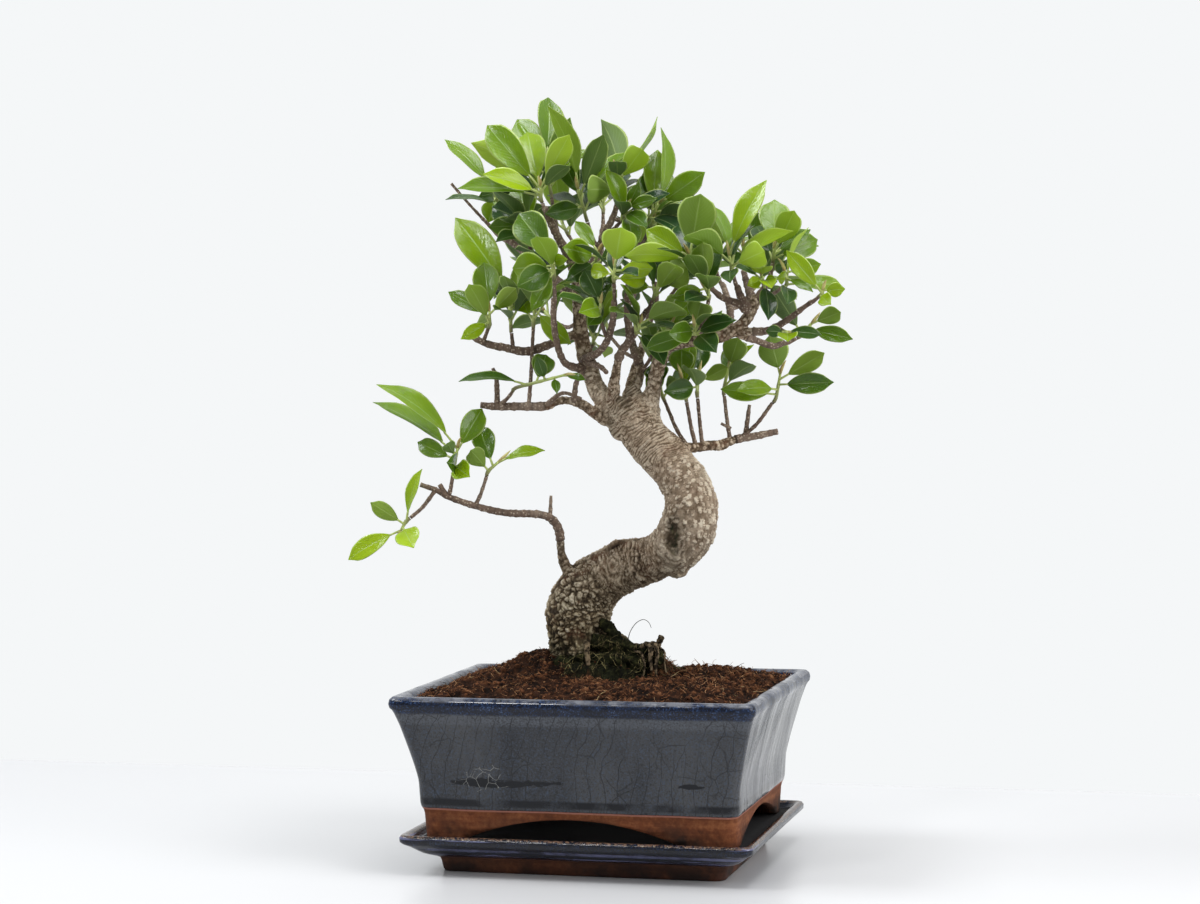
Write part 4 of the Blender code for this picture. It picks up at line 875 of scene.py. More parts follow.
def set_stops(ramp, stops):
    """Give a colour ramp its stops, each a place and a colour, or a place and a grey."""
    marks = ramp.color_ramp.elements
    while len(marks) < len(stops):
        marks.new(0.5)
    for mark, (place, colour) in zip(marks, stops):
        mark.position = place
        mark.color = (*colour, 1.0) if isinstance(colour, tuple) else (colour,) * 3 + (1.0,)


class Value:
    """A number, colour or place in a material. Sums with it become nodes."""

    def __init__(self, tree, socket):
        self.tree, self.socket = tree, socket

    def maths(self, operation, *terms, clamp=False):
        made = add_node(self.tree, "ShaderNodeMath", dict(enumerate(terms)),
                        operation=operation, use_clamp=clamp)
        return Value(self.tree, made.outputs[0])

    def __add__(self, other):
        return self.maths("ADD", self, other)

    def __sub__(self, other):
        return self.maths("SUBTRACT", self, other)

    def __rsub__(self, other):
        return self.maths("SUBTRACT", other, self)

    def __mul__(self, other):
        return self.maths("MULTIPLY", self, other)

    def __truediv__(self, other):
        return self.maths("DIVIDE", self, other)

    def __abs__(self):
        return self.maths("ABSOLUTE", self)

    def fraction(self):
        return self.maths("FRACT", self)

    def below(self, limit):
        return self.maths("LESS_THAN", self, limit)

    def above(self, limit):
        return self.maths("GREATER_THAN", self, limit)

    def or_more(self, other):
        return self.maths("MAXIMUM", self, other)

    def rise(self, low, width):
        """0 up to low, and 1 from a width above it."""
        return self.maths("DIVIDE", self - low, width, clamp=True)

    def fall(self, high, width):
        """1 up to a width below high, and 0 from high."""
        return self.maths("DIVIDE", high - self, width, clamp=True)

    def between(self, low, high, soft):
        """1 from low to high, with soft ends."""
        return self.rise(low - soft, soft) * self.fall(high + soft, soft)

    def ramp(self, *stops):
        made = add_node(self.tree, "ShaderNodeValToRGB", {"Fac": self})
        set_stops(made, stops)
        return Value(self.tree, made.outputs["Color"])

    def part(self, axis):
        made = add_node(self.tree, "ShaderNodeSeparateXYZ", {0: self})
        return Value(self.tree, made.outputs[axis])

    def stretched(self, *scale):
        made = add_node(self.tree, "ShaderNodeMapping", {"Vector": self, "Scale": scale})
        return Value(self.tree, made.outputs["Vector"])


class Finish:
    """A Principled material and short ways to add its nodes."""

    def __init__(self, name, colour, roughness, specular=0.5):
        self.material = bpy.data.materials.new(name)
        self.material.use_nodes = True
        self.tree = self.material.node_tree
        self.shader = self.tree.nodes["Principled BSDF"]
        for key, value in (("Base Color", colour), ("Roughness", roughness),
                           ("Specular IOR Level", specular)):
            feed(self.tree, self.shader.inputs[key], value)
        self.place = self.value("Object", "ShaderNodeTexCoord")

    def value(self, output, kind, inputs=None, **settings):
        return Value(self.tree, add_node(self.tree, kind, inputs, **settings).outputs[output])

    def number(self, name):
        """A number that the mesh holds for each of its points."""
        return self.value("Fac", "ShaderNodeAttribute", attribute_name=name)

    def noise(self, scale, detail=3.0, roughness=0.5, place=None, output="Fac"):
        return self.value(output, "ShaderNodeTexNoise", {
            "Vector": place or self.place, "Scale": scale, "Detail": detail,
            "Roughness": roughness})

    def cells(self, scale, feature="F1", place=None):
        return self.value("Distance", "ShaderNodeTexVoronoi", {
            "Vector": place or self.place, "Scale": scale}, feature=feature)

    def blend(self, share, first, second, way="MIX"):
        return self.value(2, "ShaderNodeMix", {"Factor": share, 6: first, 7: second},
                          data_type="RGBA", blend_type=way)

    def painted(self, colour, *coats):
        """A colour with coats over it, each a share and a colour."""
        for share, coat in coats:
            colour = self.blend(share, colour, coat)
        return colour

    def level(self, sway):
        """The height in millimetres, swayed a little so that glaze edges wander."""
        return self.place.part("Z") * 1000.0 + (self.noise(26.0, 3.0) - 0.5) * sway

    def colour(self, value):
        feed(self.tree, self.shader.inputs["Base Color"], value)

    def dullness(self, value):
        feed(self.tree, self.shader.inputs["Roughness"], value)

    def relief(self, height, depth, strength=1.0):
        """Fine relief as a bump, its depth in millimetres."""
        normal = self.value("Normal", "ShaderNodeBump", {
            "Strength": strength, "Distance": depth * MM, "Height": height})
        feed(self.tree, self.shader.inputs["Normal"], normal)
        return normal

    def let_light_through(self, share, colour, normal):
        """Mix in light that shines through a thin blade."""
        glow = add_node(self.tree, "ShaderNodeBsdfTranslucent", {
            "Color": colour, "Normal": normal})
        both = add_node(self.tree, "ShaderNodeMixShader", {
            "Fac": share, 1: self.shader.outputs[0], 2: glow.outputs[0]})
        feed(self.tree, self.tree.nodes["Material Output"].inputs["Surface"], both.outputs[0])


def leaf_lines(finish, vein_width, rib_width):
    """Side veins, midrib and margin, drawn on the leaf's own surface coordinates."""
    own = finish.value("UV", "ShaderNodeUVMap", uv_map="surface")
    across = abs(own.part("X") - 0.5)
    vein = abs((own.part("Y") * 13.0 - across * 9.0).fraction() - 0.5)
    return (vein.ramp((0.0, 1.0), (vein_width, 0.0)), across.ramp((0.0, 1.0), (rib_width, 0.0)),
            across.ramp((0.442, 0.0), (0.468, 1.0)))


def leaf_upper_finish():
    """Waxy upper face: green by age, a pale midrib and margin, and faint side veins."""
    finish = Finish("leaf upper face", (0.06, 0.16, 0.02), 0.22, 0.50)
    vein, rib, margin = leaf_lines(finish, 0.10, 0.030)
    shade = finish.number("age") + (finish.noise(55.0, 3.0, 0.55) - 0.5) * 0.35
    green = shade.ramp((0.0, (0.34, 0.47, 0.008)), (0.35, (0.160, 0.280, 0.007)),
                       (0.70, (0.052, 0.125, 0.011)), (1.0, (0.016, 0.056, 0.018)))
    finish.colour(finish.painted(green, (vein * 0.26, (0.30, 0.46, 0.10)),
                                 (rib * 0.70, (0.46, 0.60, 0.22)),
                                 (margin * 0.82, (0.58, 0.70, 0.22))))
    finish.dullness(finish.noise(180.0, 4.0).ramp((0.3, 0.10), (0.75, 0.30)))
    height = vein * -0.50 + rib * -1.0 + finish.noise(480.0, 3.0) * 1.5
    glow = shade.ramp((0.0, (0.74, 0.90, 0.006)), (0.5, (0.36, 0.52, 0.004)),
                      (1.0, (0.085, 0.180, 0.003)))
    finish.let_light_through(0.40, glow, finish.relief(height, 0.17, 0.75))
    return finish.material


def leaf_lower_finish():
    """Matt underside, paler and greyer, with a raised midrib."""
    finish = Finish("leaf underside", (0.17, 0.27, 0.08), 0.50, 0.25)
    vein, rib, margin = leaf_lines(finish, 0.12, 0.035)
    age = finish.number("age")
    green = age.ramp((0.0, (0.33, 0.43, 0.060)), (0.5, (0.180, 0.268, 0.062)),
                     (1.0, (0.100, 0.160, 0.062)))
    finish.colour(finish.painted(green, (vein * 0.20, (0.40, 0.50, 0.22)),
                                 (rib * 0.70, (0.46, 0.58, 0.20)),
                                 (margin * 0.75, (0.58, 0.70, 0.24))))
    glow = age.ramp((0.0, (0.66, 0.84, 0.030)), (1.0, (0.130, 0.230, 0.018)))
    finish.let_light_through(0.40, glow, finish.relief(vein * 0.4 + rib, 0.18, 0.6))
    return finish.material


def green_stem_finish():
    """Smooth green bark of this year's growth, browner low down."""
    finish = Finish("green stem", (0.26, 0.34, 0.09), 0.45)
    tone = finish.number("age") + (finish.noise(160.0, 3.0) - 0.5) * 0.4
    finish.colour(tone.ramp((0.0, (0.42, 0.50, 0.14)), (0.6, (0.24, 0.27, 0.085)),
                            (1.0, (0.13, 0.095, 0.050))))
    finish.relief(finish.noise(900.0, 3.0), 0.12, 0.6)
    return finish.material


def bud_finish():
    finish = Finish("pointed bud", (0.42, 0.34, 0.11), 0.42)
    finish.colour(finish.noise(240.0, 3.0).ramp((0.3, (0.30, 0.20, 0.060)),
                                                (0.7, (0.55, 0.50, 0.18))))
    finish.relief(finish.noise(800.0, 2.0), 0.1, 0.5)
    return finish.material


def bark_finish():
    """Old bark: dark in its creases, deepened there as painted shade, pale on its warts, olive low
    down and mossy at the foot.
    """
    finish = Finish("old bark", (0.26, 0.20, 0.145), 0.82, 0.2)
    raised, height = finish.number("raised"), finish.place.part("Z")
    fine = finish.noise(800.0, 4.0, 0.65)
    ground = finish.noise(42.0, 5.0, 0.6).ramp(
        (0.30, (0.290, 0.212, 0.145)), (0.5, (0.430, 0.350, 0.262)),
        (0.72, (0.520, 0.455, 0.358)))
    ground = finish.blend(height.fall(0.175, 0.055), ground, (0.80, 0.79, 0.62), "MULTIPLY")
    ground = finish.blend(height.rise(0.172, 0.050), ground, (1.30, 1.28, 1.25), "MULTIPLY")
    # Low bark is darker: partly its own colour in the creases, partly painted shade.
    crease_tone_and_shade = raised.ramp((0.02, (0.050, 0.040, 0.032)), (0.26, (0.36, 0.32, 0.28)),
                         (0.58, (1.0, 1.0, 1.0)))
    crest = raised.ramp((0.55, 0.0), (1.0, 1.0)) * finish.noise(240.0, 3.0).ramp(
        (0.35, 0.40), (0.65, 0.85))
    rust = finish.noise(95.0, 4.0, 0.6).ramp((0.55, 0.0), (0.68, 0.6)) * raised.ramp(
        (0.2, 1.0), (0.6, 0.15))
    moss = finish.number("moss") * finish.noise(230.0, 4.0, 0.65).ramp(
        (0.36, 1.0), (0.64, 0.22)) * raised.ramp((0.25, 1.0), (0.70, 0.60))
    green = finish.noise(320.0, 4.0).ramp((0.32, (0.004, 0.005, 0.003)),
                                          (0.60, (0.017, 0.019, 0.008)),
                                          (0.76, (0.080, 0.085, 0.030)))
    finish.colour(finish.painted(
        finish.blend(1.0, ground, crease_tone_and_shade, "MULTIPLY"), (crest, (0.66, 0.58, 0.45)),
        (rust, (0.120, 0.046, 0.024)),
        (fine.ramp((0.36, 0.50), (0.56, 0.0)), (0.070, 0.050, 0.034)), (moss, green)))
    finish.dullness(raised.ramp((0.2, 0.95), (0.9, 0.70)))
    finish.relief(fine + finish.noise(2600.0, 2.0) * 0.4, 0.5, 0.9)
    return finish.material


def twig_finish():
    """Thinner branches: red-brown to grey, with pale dots and dark rings."""
    finish = Finish("twig bark", (0.16, 0.11, 0.08), 0.72, 0.3)
    ground = finish.noise(60.0, 4.0, 0.6).ramp(
        (0.30, (0.085, 0.052, 0.036)), (0.52, (0.165, 0.112, 0.080)),
        (0.75, (0.270, 0.205, 0.152)))
    dots = finish.cells(620.0).ramp((0.20, 1.0), (0.38, 0.0))
    rings = finish.number("raised").ramp((0.25, 0.75), (0.5, 0.0))
    finish.colour(finish.painted(ground, (dots * 0.70, (0.50, 0.41, 0.31)),
                                 (rings, (0.050, 0.034, 0.026))))
    finish.relief(dots * 0.6 + finish.noise(700.0, 4.0), 0.35, 0.8)
    return finish.material


def soil_finish():
    """Moist coir and peat, black-green with moss round the trunk's foot."""
    finish = Finish("coir soil", (0.06, 0.025, 0.012), 0.95, 0.08)
    # The lumps' height shifts the tone: painted shade in the hollows, painted light on the lumps'
    # tops.
    clump = finish.noise(170.0, 6.0, 0.72) * (finish.number("crest") * 0.40 + 0.77)
    brown = clump.ramp((0.34, (0.006, 0.003, 0.002)), (0.48, (0.040, 0.016, 0.008)),
                       (0.60, (0.110, 0.045, 0.020)), (0.76, (0.200, 0.095, 0.046)))
    moss = finish.noise(380.0, 4.0, 0.6).ramp((0.34, (0.004, 0.004, 0.003)),
                                              (0.60, (0.013, 0.014, 0.006)),
                                              (0.76, (0.048, 0.050, 0.019)))
    finish.colour(finish.blend(finish.number("mossy"), brown, moss))
    finish.relief(clump + finish.noise(1500.0, 4.0) * 0.5, 1.5, 1.0)
    return finish.material


def moss_finish():
    finish = Finish("moss", (0.02, 0.02, 0.008), 0.95, 0.05)
    finish.colour(finish.noise(300.0, 5.0, 0.65).ramp((0.36, (0.003, 0.003, 0.002)),
                                                      (0.54, (0.015, 0.016, 0.007)),
                                                      (0.72, (0.070, 0.068, 0.024))))
    finish.relief(finish.noise(900.0, 4.0), 0.8, 1.0)
    return finish.material


def fibre_finish(name, dark, pale):
    """Dull fibres or crumbs of two tones that change from one to the next."""
    finish = Finish(name, dark, 0.9, 0.1)
    finish.colour(finish.noise(380.0, 3.0).ramp((0.42, dark), (0.60, pale)))
    finish.relief(finish.noise(1500.0, 3.0), 0.1, 0.6)
    return finish.material


def navy_specks(finish, palest):
    """Near-black glaze full of small blue specks."""
    speck = finish.noise(1050.0, 3.0, 0.7) + (finish.noise(150.0, 2.0) - 0.5) * 0.25
    return speck.ramp((0.42, (0.002, 0.003, 0.008)), (0.54, (0.006, 0.012, 0.034)),
                      (0.64, (0.020, 0.042, 0.105)), (palest, (0.095, 0.155, 0.260)))


def clay_colour(finish, level, darkest_below, dark_up_to):
    """Bare terracotta, darker in patches towards the bottom, and its grain."""
    clay_grain = finish.noise(330.0, 5.0, 0.65)
    drag = finish.noise(70.0, 3.0, 0.5, finish.place.stretched(0.4, 0.4, 4.0))
    clay = (clay_grain * 0.5 + drag * 0.5).ramp(
        (0.36, (0.085, 0.025, 0.009)), (0.50, (0.170, 0.050, 0.017)),
        (0.64, (0.270, 0.096, 0.036)))
    patch = finish.noise(40.0, 4.0, 0.6).ramp((0.38, 0.0), (0.58, 1.0))
    darker_low = patch * (level.fall(dark_up_to, dark_up_to - darkest_below) * 0.88 + 0.12)
    return finish.blend(darker_low, clay, (0.024, 0.013, 0.009)), clay_grain


def patch_at(finish, x, z, half_x, half_z, ragged):
    """1 inside a ragged level patch on the pot's front, in metres, and 0 outside."""
    across = (finish.place.part("X") - x) / half_x
    upward = (finish.place.part("Z") - z) / half_z
    reach = across * across + upward * upward + ragged
    return reach.ramp((0.70, 1.0), (1.0, 0.0)) * finish.place.part("Y").below(-0.05)


def crackle(finish, bent):
    """Fine cracks in a glaze: upright ones, and a net between them."""
    sideways = finish.place.part("X") + finish.place.part("Y") * 0.93
    sway = (finish.noise(26.0, 3.0) - 0.5) * 2.7
    upright = abs((sideways * 140.0 + sway).fraction() - 0.5).ramp((0.010, 1.0), (0.038, 0.0))
    upright = upright * finish.noise(20.0, 3.0).ramp((0.38, 0.10), (0.56, 1.0))
    net = finish.cells(82.0, "DISTANCE_TO_EDGE", bent.stretched(1.0, 1.0, 0.75))
    net = net.ramp((0.006, 1.0), (0.024, 0.0)) * finish.noise(38.0, 2.0).ramp(
        (0.42, 0.10), (0.58, 0.75))
    return upright.or_more(net)


def pot_glaze_finish():
    """Slate glaze, crackled, with a navy rim, over a terracotta foot; pale grey dashes along the
    rim's top are a painted highlight.
    """
    finish = Finish("pot glaze", (0.02, 0.024, 0.03), 0.12, 0.32)
    place, level = finish.place, finish.level(1.3)
    bent = finish.blend(0.012, place, finish.noise(45.0, 2.0, output="Color"))
    speck = finish.noise(1000.0, 3.0, 0.65)
    cloud = finish.noise(22.0, 5.0, 0.62, place.stretched(1.0, 1.0, 0.35)).ramp(
        (0.32, (0.016, 0.018, 0.023)), (0.50, (0.040, 0.042, 0.047)),
        (0.70, (0.066, 0.068, 0.072)))
    under_rim = level.between(82.6, 86.6, 2.0) * speck.ramp((0.40, 0.2), (0.62, 0.9))
    rim = level.rise(86.4, 1.3)
    # Pale grey dashes along the rim's top: painted highlight.
    rim_top_patches = level.between(94.6, 96.2, 0.7) * finish.noise(120.0, 4.0, 0.65).ramp(
        (0.40, 0.05), (0.60, 0.80))
    crack = crackle(finish, bent) * (1.0 - rim)
    ragged = (finish.noise(95.0, 5.0, 0.65, place.stretched(1.0, 1.0, 4.0)) - 0.5) * 7.5
    smear = patch_at(finish, -0.039, 0.0505, 0.026, 0.0026, ragged).or_more(
        patch_at(finish, 0.061, 0.0510, 0.010, 0.0012, ragged))
    low_band = level.between(37.6, 40.4, 1.2) * finish.noise(42.0, 4.0, 0.6).ramp(
        (0.40, 0.20), (0.52, 1.0))
    scratch = finish.cells(190.0, "DISTANCE_TO_EDGE", bent).ramp(
        (0.0, 1.0), (0.032, 0.0)) * patch_at(finish, -0.049, 0.0525, 0.013, 0.0055, ragged)
    glaze = finish.painted(
        cloud, (speck.ramp((0.50, 0.0), (0.68, 0.60)), (0.050, 0.076, 0.125)),
        (speck.ramp((0.32, 0.7), (0.45, 0.0)), (0.006, 0.007, 0.009)),
        (under_rim, (0.085, 0.094, 0.112)), (rim, navy_specks(finish, 0.76)),
        (rim_top_patches, (0.150, 0.155, 0.175)), (crack * 0.80, (0.004, 0.004, 0.005)),
        (smear.or_more(low_band), (0.001, 0.002, 0.005)), (scratch * 0.7, (0.34, 0.34, 0.32)))
    clay, clay_grain = clay_colour(finish, level, 22.0, 33.0)
    clay = finish.blend(level.between(34.5, 35.3, 0.35) * 0.8, clay, (0.36, 0.15, 0.11))
    glazed = level.rise(GLAZE_LINE, 0.35)
    finish.colour(finish.blend(glazed, clay, glaze))
    flow = finish.noise(48.0, 3.0, 0.5, place.stretched(1.0, 1.0, 0.24))
    gloss = flow.ramp((0.42, 0.05), (0.62, 0.34))
    finish.dullness(finish.blend(glazed, (0.85, 0.85, 0.85), gloss))
    pits = finish.noise(520.0, 3.0).ramp((0.24, 0.0), (0.36, 1.0))
    skin = flow * 1.3 + pits * 0.12 - crack * 0.06
    finish.relief(finish.blend(glazed, clay_grain * 0.5, skin), 1.5, 0.6)
    return finish.material


def saucer_glaze_finish():
    """Navy-black glaze in horizontal streaks, with pale blue patches that are partly painted sheen,
    worn brown on its rim, over terracotta; its floor under the pot is painted near black as shade.
    """
    finish = Finish("saucer glaze", (0.012, 0.014, 0.022), 0.14, 0.40)
    place, level = finish.place, finish.level(0.8)
    streak = finish.noise(14.0, 4.0, 0.65, place.stretched(1.0, 1.0, 34.0))
    pale_bands = finish.noise(30.0, 4.0, 0.6).ramp((0.40, 0.05), (0.58, 0.75)) * level.between(
        13.4, 14.4, 0.7).or_more(level.between(10.0, 10.6, 0.5))
    # Pale blue-violet patches and bands: the glaze's own colour, brightened as painted sheen.
    blue_patches_and_sheen = streak.ramp((0.59, 0.0), (0.65, 0.85)).or_more(pale_bands)
    rim_top_patches = level.between(20.7, 24.0, 0.5) * finish.noise(620.0, 4.0, 0.7).ramp(
        (0.46, 0.0), (0.58, 0.90))
    chip = level.between(20.4, 21.2, 0.3) * finish.noise(700.0, 3.0).ramp(
        (0.62, 0.0), (0.70, 0.8))
    # The floor inside the saucer, under the pot: painted near black as shade, and made matt.
    inside = abs(place.part("X")).below(0.0885) * abs(place.part("Y")).below(
        0.068) * level.above(15.0)
    glaze = finish.painted(
        navy_specks(finish, 0.78), (streak.ramp((0.42, 0.45), (0.56, 0.92)), (0.003, 0.003, 0.006)),
        (blue_patches_and_sheen, (0.150, 0.160, 0.285)), (rim_top_patches, (0.170, 0.098, 0.060)),
        (chip, (0.38, 0.30, 0.22)), (inside * 0.9, (0.006, 0.005, 0.005)))
    clay, clay_grain = clay_colour(finish, level, 2.0, 14.0)
    clay = finish.blend(0.50, clay, (0.020, 0.009, 0.007))
    glazed = level.rise(8.6, 0.4)
    finish.colour(finish.blend(glazed, clay, glaze))
    gloss = finish.noise(140.0, 4.0, 0.6).ramp((0.35, 0.10), (0.75, 0.26))
    gloss = finish.blend(inside, gloss, (0.90, 0.90, 0.90))
    finish.dullness(finish.blend(glazed, (0.88, 0.88, 0.88), gloss))
    skin = streak * 0.8 + finish.noise(480.0, 3.0) * 0.14
    finish.relief(finish.blend(glazed, clay_grain * 0.5, skin), 1.0, 0.6)
    return finish.material


# Pot and saucer

def rounded_ring(half_x, half_y, radius, z):
    """A level ring in the outline of a rectangle with rounded corners, with points along it."""
    corners = []
    for quarter, (side_x, side_y) in enumerate(((1, 1), (-1, 1), (-1, -1), (1, -1))):
        corner = []
        for step in range(CORNER_STEPS + 1):
            angle = math.radians(90.0 * (quarter + step / CORNER_STEPS))
            corner.append(Vector((side_x * (half_x - radius) + radius * math.cos(angle),
                                  side_y * (half_y - radius) + radius * math.sin(angle), z)))
        corners.append(corner)
    ring = []
    for corner, following in zip(corners, corners[1:] + corners[:1]):
        ring += corner
        ring += [corner[-1].lerp(following[0], step / SIDE_STEPS)
                 for step in range(1, SIDE_STEPS)]
    return ring


def finer(sections, pieces):
    """More sections between those given, on straight runs with softened bends."""
    knots = [Vector(section) for section in sections]
    result = []
    for first, second in zip(knots, knots[1:]):
        steps = max(1, min(pieces, round((second - first).length / 2.5)))
        result += [first.lerp(second, step / steps) for step in range(steps)]
    result.append(knots[-1])
    softened = [here * 0.6 + (before + after) * 0.2
                for before, here, after in zip(result, result[1:], result[2:])]
    return [result[0], *softened, result[-1]]


def thrown_ring(half_x, half_y, radius, z, sway):
    """A ring of the glazed wall, with the slight unevenness of hand-made ware."""
    ring = rounded_ring(half_x, half_y, radius, z)
    for point in ring:
        inward = sway * (0.5 + 0.5 * noise.noise(point * 0.022))
        point.x -= inward * point.x / half_x
        point.y -= inward * point.y / half_y
    return ring


def thrown(name, sections, pieces, sway, glaze):
    """A closed body of glazed ware through its sections."""
    rings = [thrown_ring(*section, sway) for section in finer(sections, pieces)]
    piece = mesh_piece(name, *loft(rings), [glaze])
    tidy_normals(piece.data)
    return piece


def make_saucer(glaze):
    settle(thrown("drip_saucer", SAUCER_SECTIONS, 8, 0.5, glaze), "saucer_glaze", "saucer")


def round_bar(radius, length, centre, axis, sides):
    """Points and faces of a round bar through a centre, along an axis of the frame."""
    rings = []
    for end in (-0.5, 0.5):
        ring = []
        for turn in range(sides):
            angle = math.tau * turn / sides
            flat = [radius * math.cos(angle), radius * math.sin(angle)]
            flat.insert(axis, end * length)
            ring.append(Vector(centre) + Vector(flat))
        rings.append(ring)
    return loft(rings)


def arch(shift, radius, axis, sides):
    """The long bar that cuts an arch through two opposite walls of the foot."""
    centre = [0.0, 0.0, ARCH_TOP - radius]
    centre[1 - axis] = shift
    return round_bar(radius, 260.0, centre, axis, sides)


def make_pot(glaze):
    pot = thrown("glazed_pot", POT_OUTSIDE + POT_INSIDE, 10, 0.4, glaze)
    recess = [rounded_ring(section[0] - FOOT_WALL, section[1] - FOOT_WALL, 5.0, z)
              for section, z in zip(POT_OUTSIDE, (POT_BASE - 5.0, POT_UNDERSIDE))]
    holes = [loft(recess), arch(*FRONT_ARCH, 1, 160), arch(*SIDE_ARCH, 0, 120)]
    middle = (POT_UNDERSIDE + POT_FLOOR) / 2.0
    holes += [round_bar(DRAIN_RADIUS, 20.0, (x, 0.0, middle), 2, 32) for x in DRAINS]
    cutters = []
    for place, hole in enumerate(holes):
        cutter = mesh_piece(f"hole_{place}", *hole, [])
        tidy_normals(cutter.data)
        cut = pot.modifiers.new("Cut " + cutter.name, "BOOLEAN")
        cut.operation, cut.solver, cut.object = "DIFFERENCE", "EXACT", cutter
        cutters.append(cutter)
    keep_result(pot)
    for cutter in cutters:
        bpy.data.objects.remove(cutter)
    settle(pot, "glaze", "pot")


# Soil

def ground_height(x, y):
    """The soil's top, over the rooted stump too."""
    reach = math.hypot((x - STUMP_CENTRE[0]) / STUMP_HALF[0], (y - STUMP_CENTRE[1]) / STUMP_HALF[1])
    stump = STUMP_TOP - 12.0 * max(0.0, reach - 0.30) ** 1.6
    return max(soil_height(x, y), stump if reach < 1.1 else 0.0)


def mark_ground(mesh, rise):
    """Note where the soil is open and where it is mossy, for its finish and what lies on it."""
    spots = spots_of(mesh)
    reach = np.hypot((spots[:, 0] - 3.0) / 33.0, (spots[:, 1] + 1.0) / 25.0)
    reach += 0.16 * rough_grain(spots / 6.0, 141, 2)
    near = 1.0 - ease(reach, 0.62, 1.0)
    above = (spots[:, 2] > 80.0).astype(float)
    crest = np.zeros(len(spots))
    crest[:len(rise)] = ease(rise, -0.9, 0.9)
    note(mesh, mossy=near * above, crest=crest,
         open_soil=(1.0 - 0.85 * near) * above * (0.35 + crest))


def crumbly_rise(flat):
    """How far lumps, clumps and crumbs lift the soil, less so at the pot's rim."""
    half_x, half_y, _ = SOIL_HALF
    lumps = rough_grain(flat / 8.0, 11) * 1.1
    clump, clump_edges, clump_tone = cell_field(flat / 4.4, 15)
    clumps = ease(clump_edges - clump, 0.0, 0.40) * 2.0 * clump_tone
    near, _, crumb_tone = cell_field(flat / 2.1, 21)
    crumbs = (1.0 - ease(near, 0.1, 0.7)) * 1.3 * crumb_tone - 0.5
    fine = grain(flat / 1.1, 41) * 0.40
    edge = np.minimum((half_x - np.abs(flat[:, 0])) / 3.0, (half_y - np.abs(flat[:, 1])) / 3.0)
    return (lumps + clumps + crumbs + fine) * (0.3 + 0.7 * np.clip(edge, 0.0, 1.0)) - 1.2


def make_soil(soil):
    """A crumbly top inside the pot's rim, closed by a skirt and a floor."""
    half_x, half_y, radius = SOIL_HALF
    columns, rows = SOIL_GRID
    tops = []
    for row in range(rows + 1):
        for column in range(columns + 1):
            x = half_x * (2.0 * column / columns - 1.0)
            y = half_y * (2.0 * row / rows - 1.0)
            over_x = max(0.0, abs(x) - (half_x - radius))
            over_y = max(0.0, abs(y) - (half_y - radius))
            over = math.hypot(over_x, over_y)
            if over > radius:
                x = math.copysign(half_x - radius + over_x * radius / over, x)
                y = math.copysign(half_y - radius + over_y * radius / over, y)
            tops.append((x, y))
    rise = crumbly_rise(np.array([(x, y, 0.0) for x, y in tops]))
    points = [(x, y, ground_height(x, y) + lift) for (x, y), lift in zip(tops, rise)]
    width = columns + 1
    faces = grid_faces(width, rows)
    rim = list(range(columns))
    rim += [row * width + columns for row in range(rows)]
    rim += [rows * width + column for column in range(columns, 0, -1)]
    rim += [row * width for row in range(rows, 0, -1)]
    start = len(points)
    floor = POT_FLOOR + GAP
    points += [(points[place][0] * 0.86, points[place][1] * 0.82, floor) for place in rim]
    for place in range(len(rim)):
        following = (place + 1) % len(rim)
        faces.append((rim[following], rim[place], start + place, start + following))
    faces.append(list(range(start + len(rim) - 1, start - 1, -1)))
    piece = mesh_piece("coir_soil", points, faces, [soil])
    mark_ground(piece.data, rise)
    settle(piece, "soil", "soil")
    return piece


# Wood

def stout_lines():
    """Lines of the trunk and roots, and of every limb stout enough to be carved."""
    trunk = {"trunk": smooth_route(TRUNK, 2.0)}
    for place, route in enumerate(ROOTS):
        trunk[f"root_{place}"] = smooth_route(route, 2.0)
    limbs = {}
    for name, route in BRANCHES.items():
        stout = [point for point in smooth_route(route, 2.0) if point.w > 2.15]
        if max(knot[3] for knot in route) >= 2.9 and len(stout) > 3:
            back = (stout[0].xyz - stout[1].xyz).normalized() * stout[0].w
            limbs[name] = [Vector((*(stout[0].xyz + back * share), stout[0].w * size))
                           for share, size in ((0.92, 0.40), (0.70, 0.72), (0.38, 0.93))] + stout
    return trunk, limbs


def along_wood(vertices, lines):
    """Each vertex's place round and along its limb, that limb, and how clear it is of others."""
    table = []
    for limb, line in enumerate(lines.values()):
        run = 0.0
        for place, (point, along, side) in enumerate(zip(line, *frame_along(line))):
            if place:
                run += (point.xyz - line[place - 1].xyz).length
            table.append((*point, *along, *side, run, limb))
    table = np.array(table)
    centres, radii, tangents, sides = table[:, :3], table[:, 3], table[:, 4:7], table[:, 7:10]
    lengths, limbs = table[:, 10], table[:, 11].astype(int)
    count = len(vertices)
    place = np.zeros((count, 3))
    owner = np.zeros(count, dtype=int)
    clear = np.zeros(count)
    for start in range(0, count, 4000):
        part = slice(start, min(start + 4000, count))
        offset = vertices[part][:, None, :] - centres[None, :, :]
        ratio = np.linalg.norm(offset, axis=2) / radii
        best = ratio.argmin(axis=1)
        each = np.arange(len(best))
        others = np.where(limbs[None, :] == limbs[best][:, None], 9.0, ratio).min(axis=1)
        away = offset[each, best]
        forward = (away * tangents[best]).sum(axis=1)
        flat = away - tangents[best] * forward[:, None]
        flat /= np.maximum(np.linalg.norm(flat, axis=1), 1e-6)[:, None]
        first = (flat * sides[best]).sum(axis=1)
        second = (flat * np.cross(tangents[best], sides[best])).sum(axis=1)
        place[part] = np.stack([first * radii[best], second * radii[best],
                                lengths[best] + forward], axis=1)
        owner[part] = limbs[best]
        clear[part] = np.clip((others - ratio[each, best]) / 0.35, 0.0, 1.0)
    return place, owner, clear


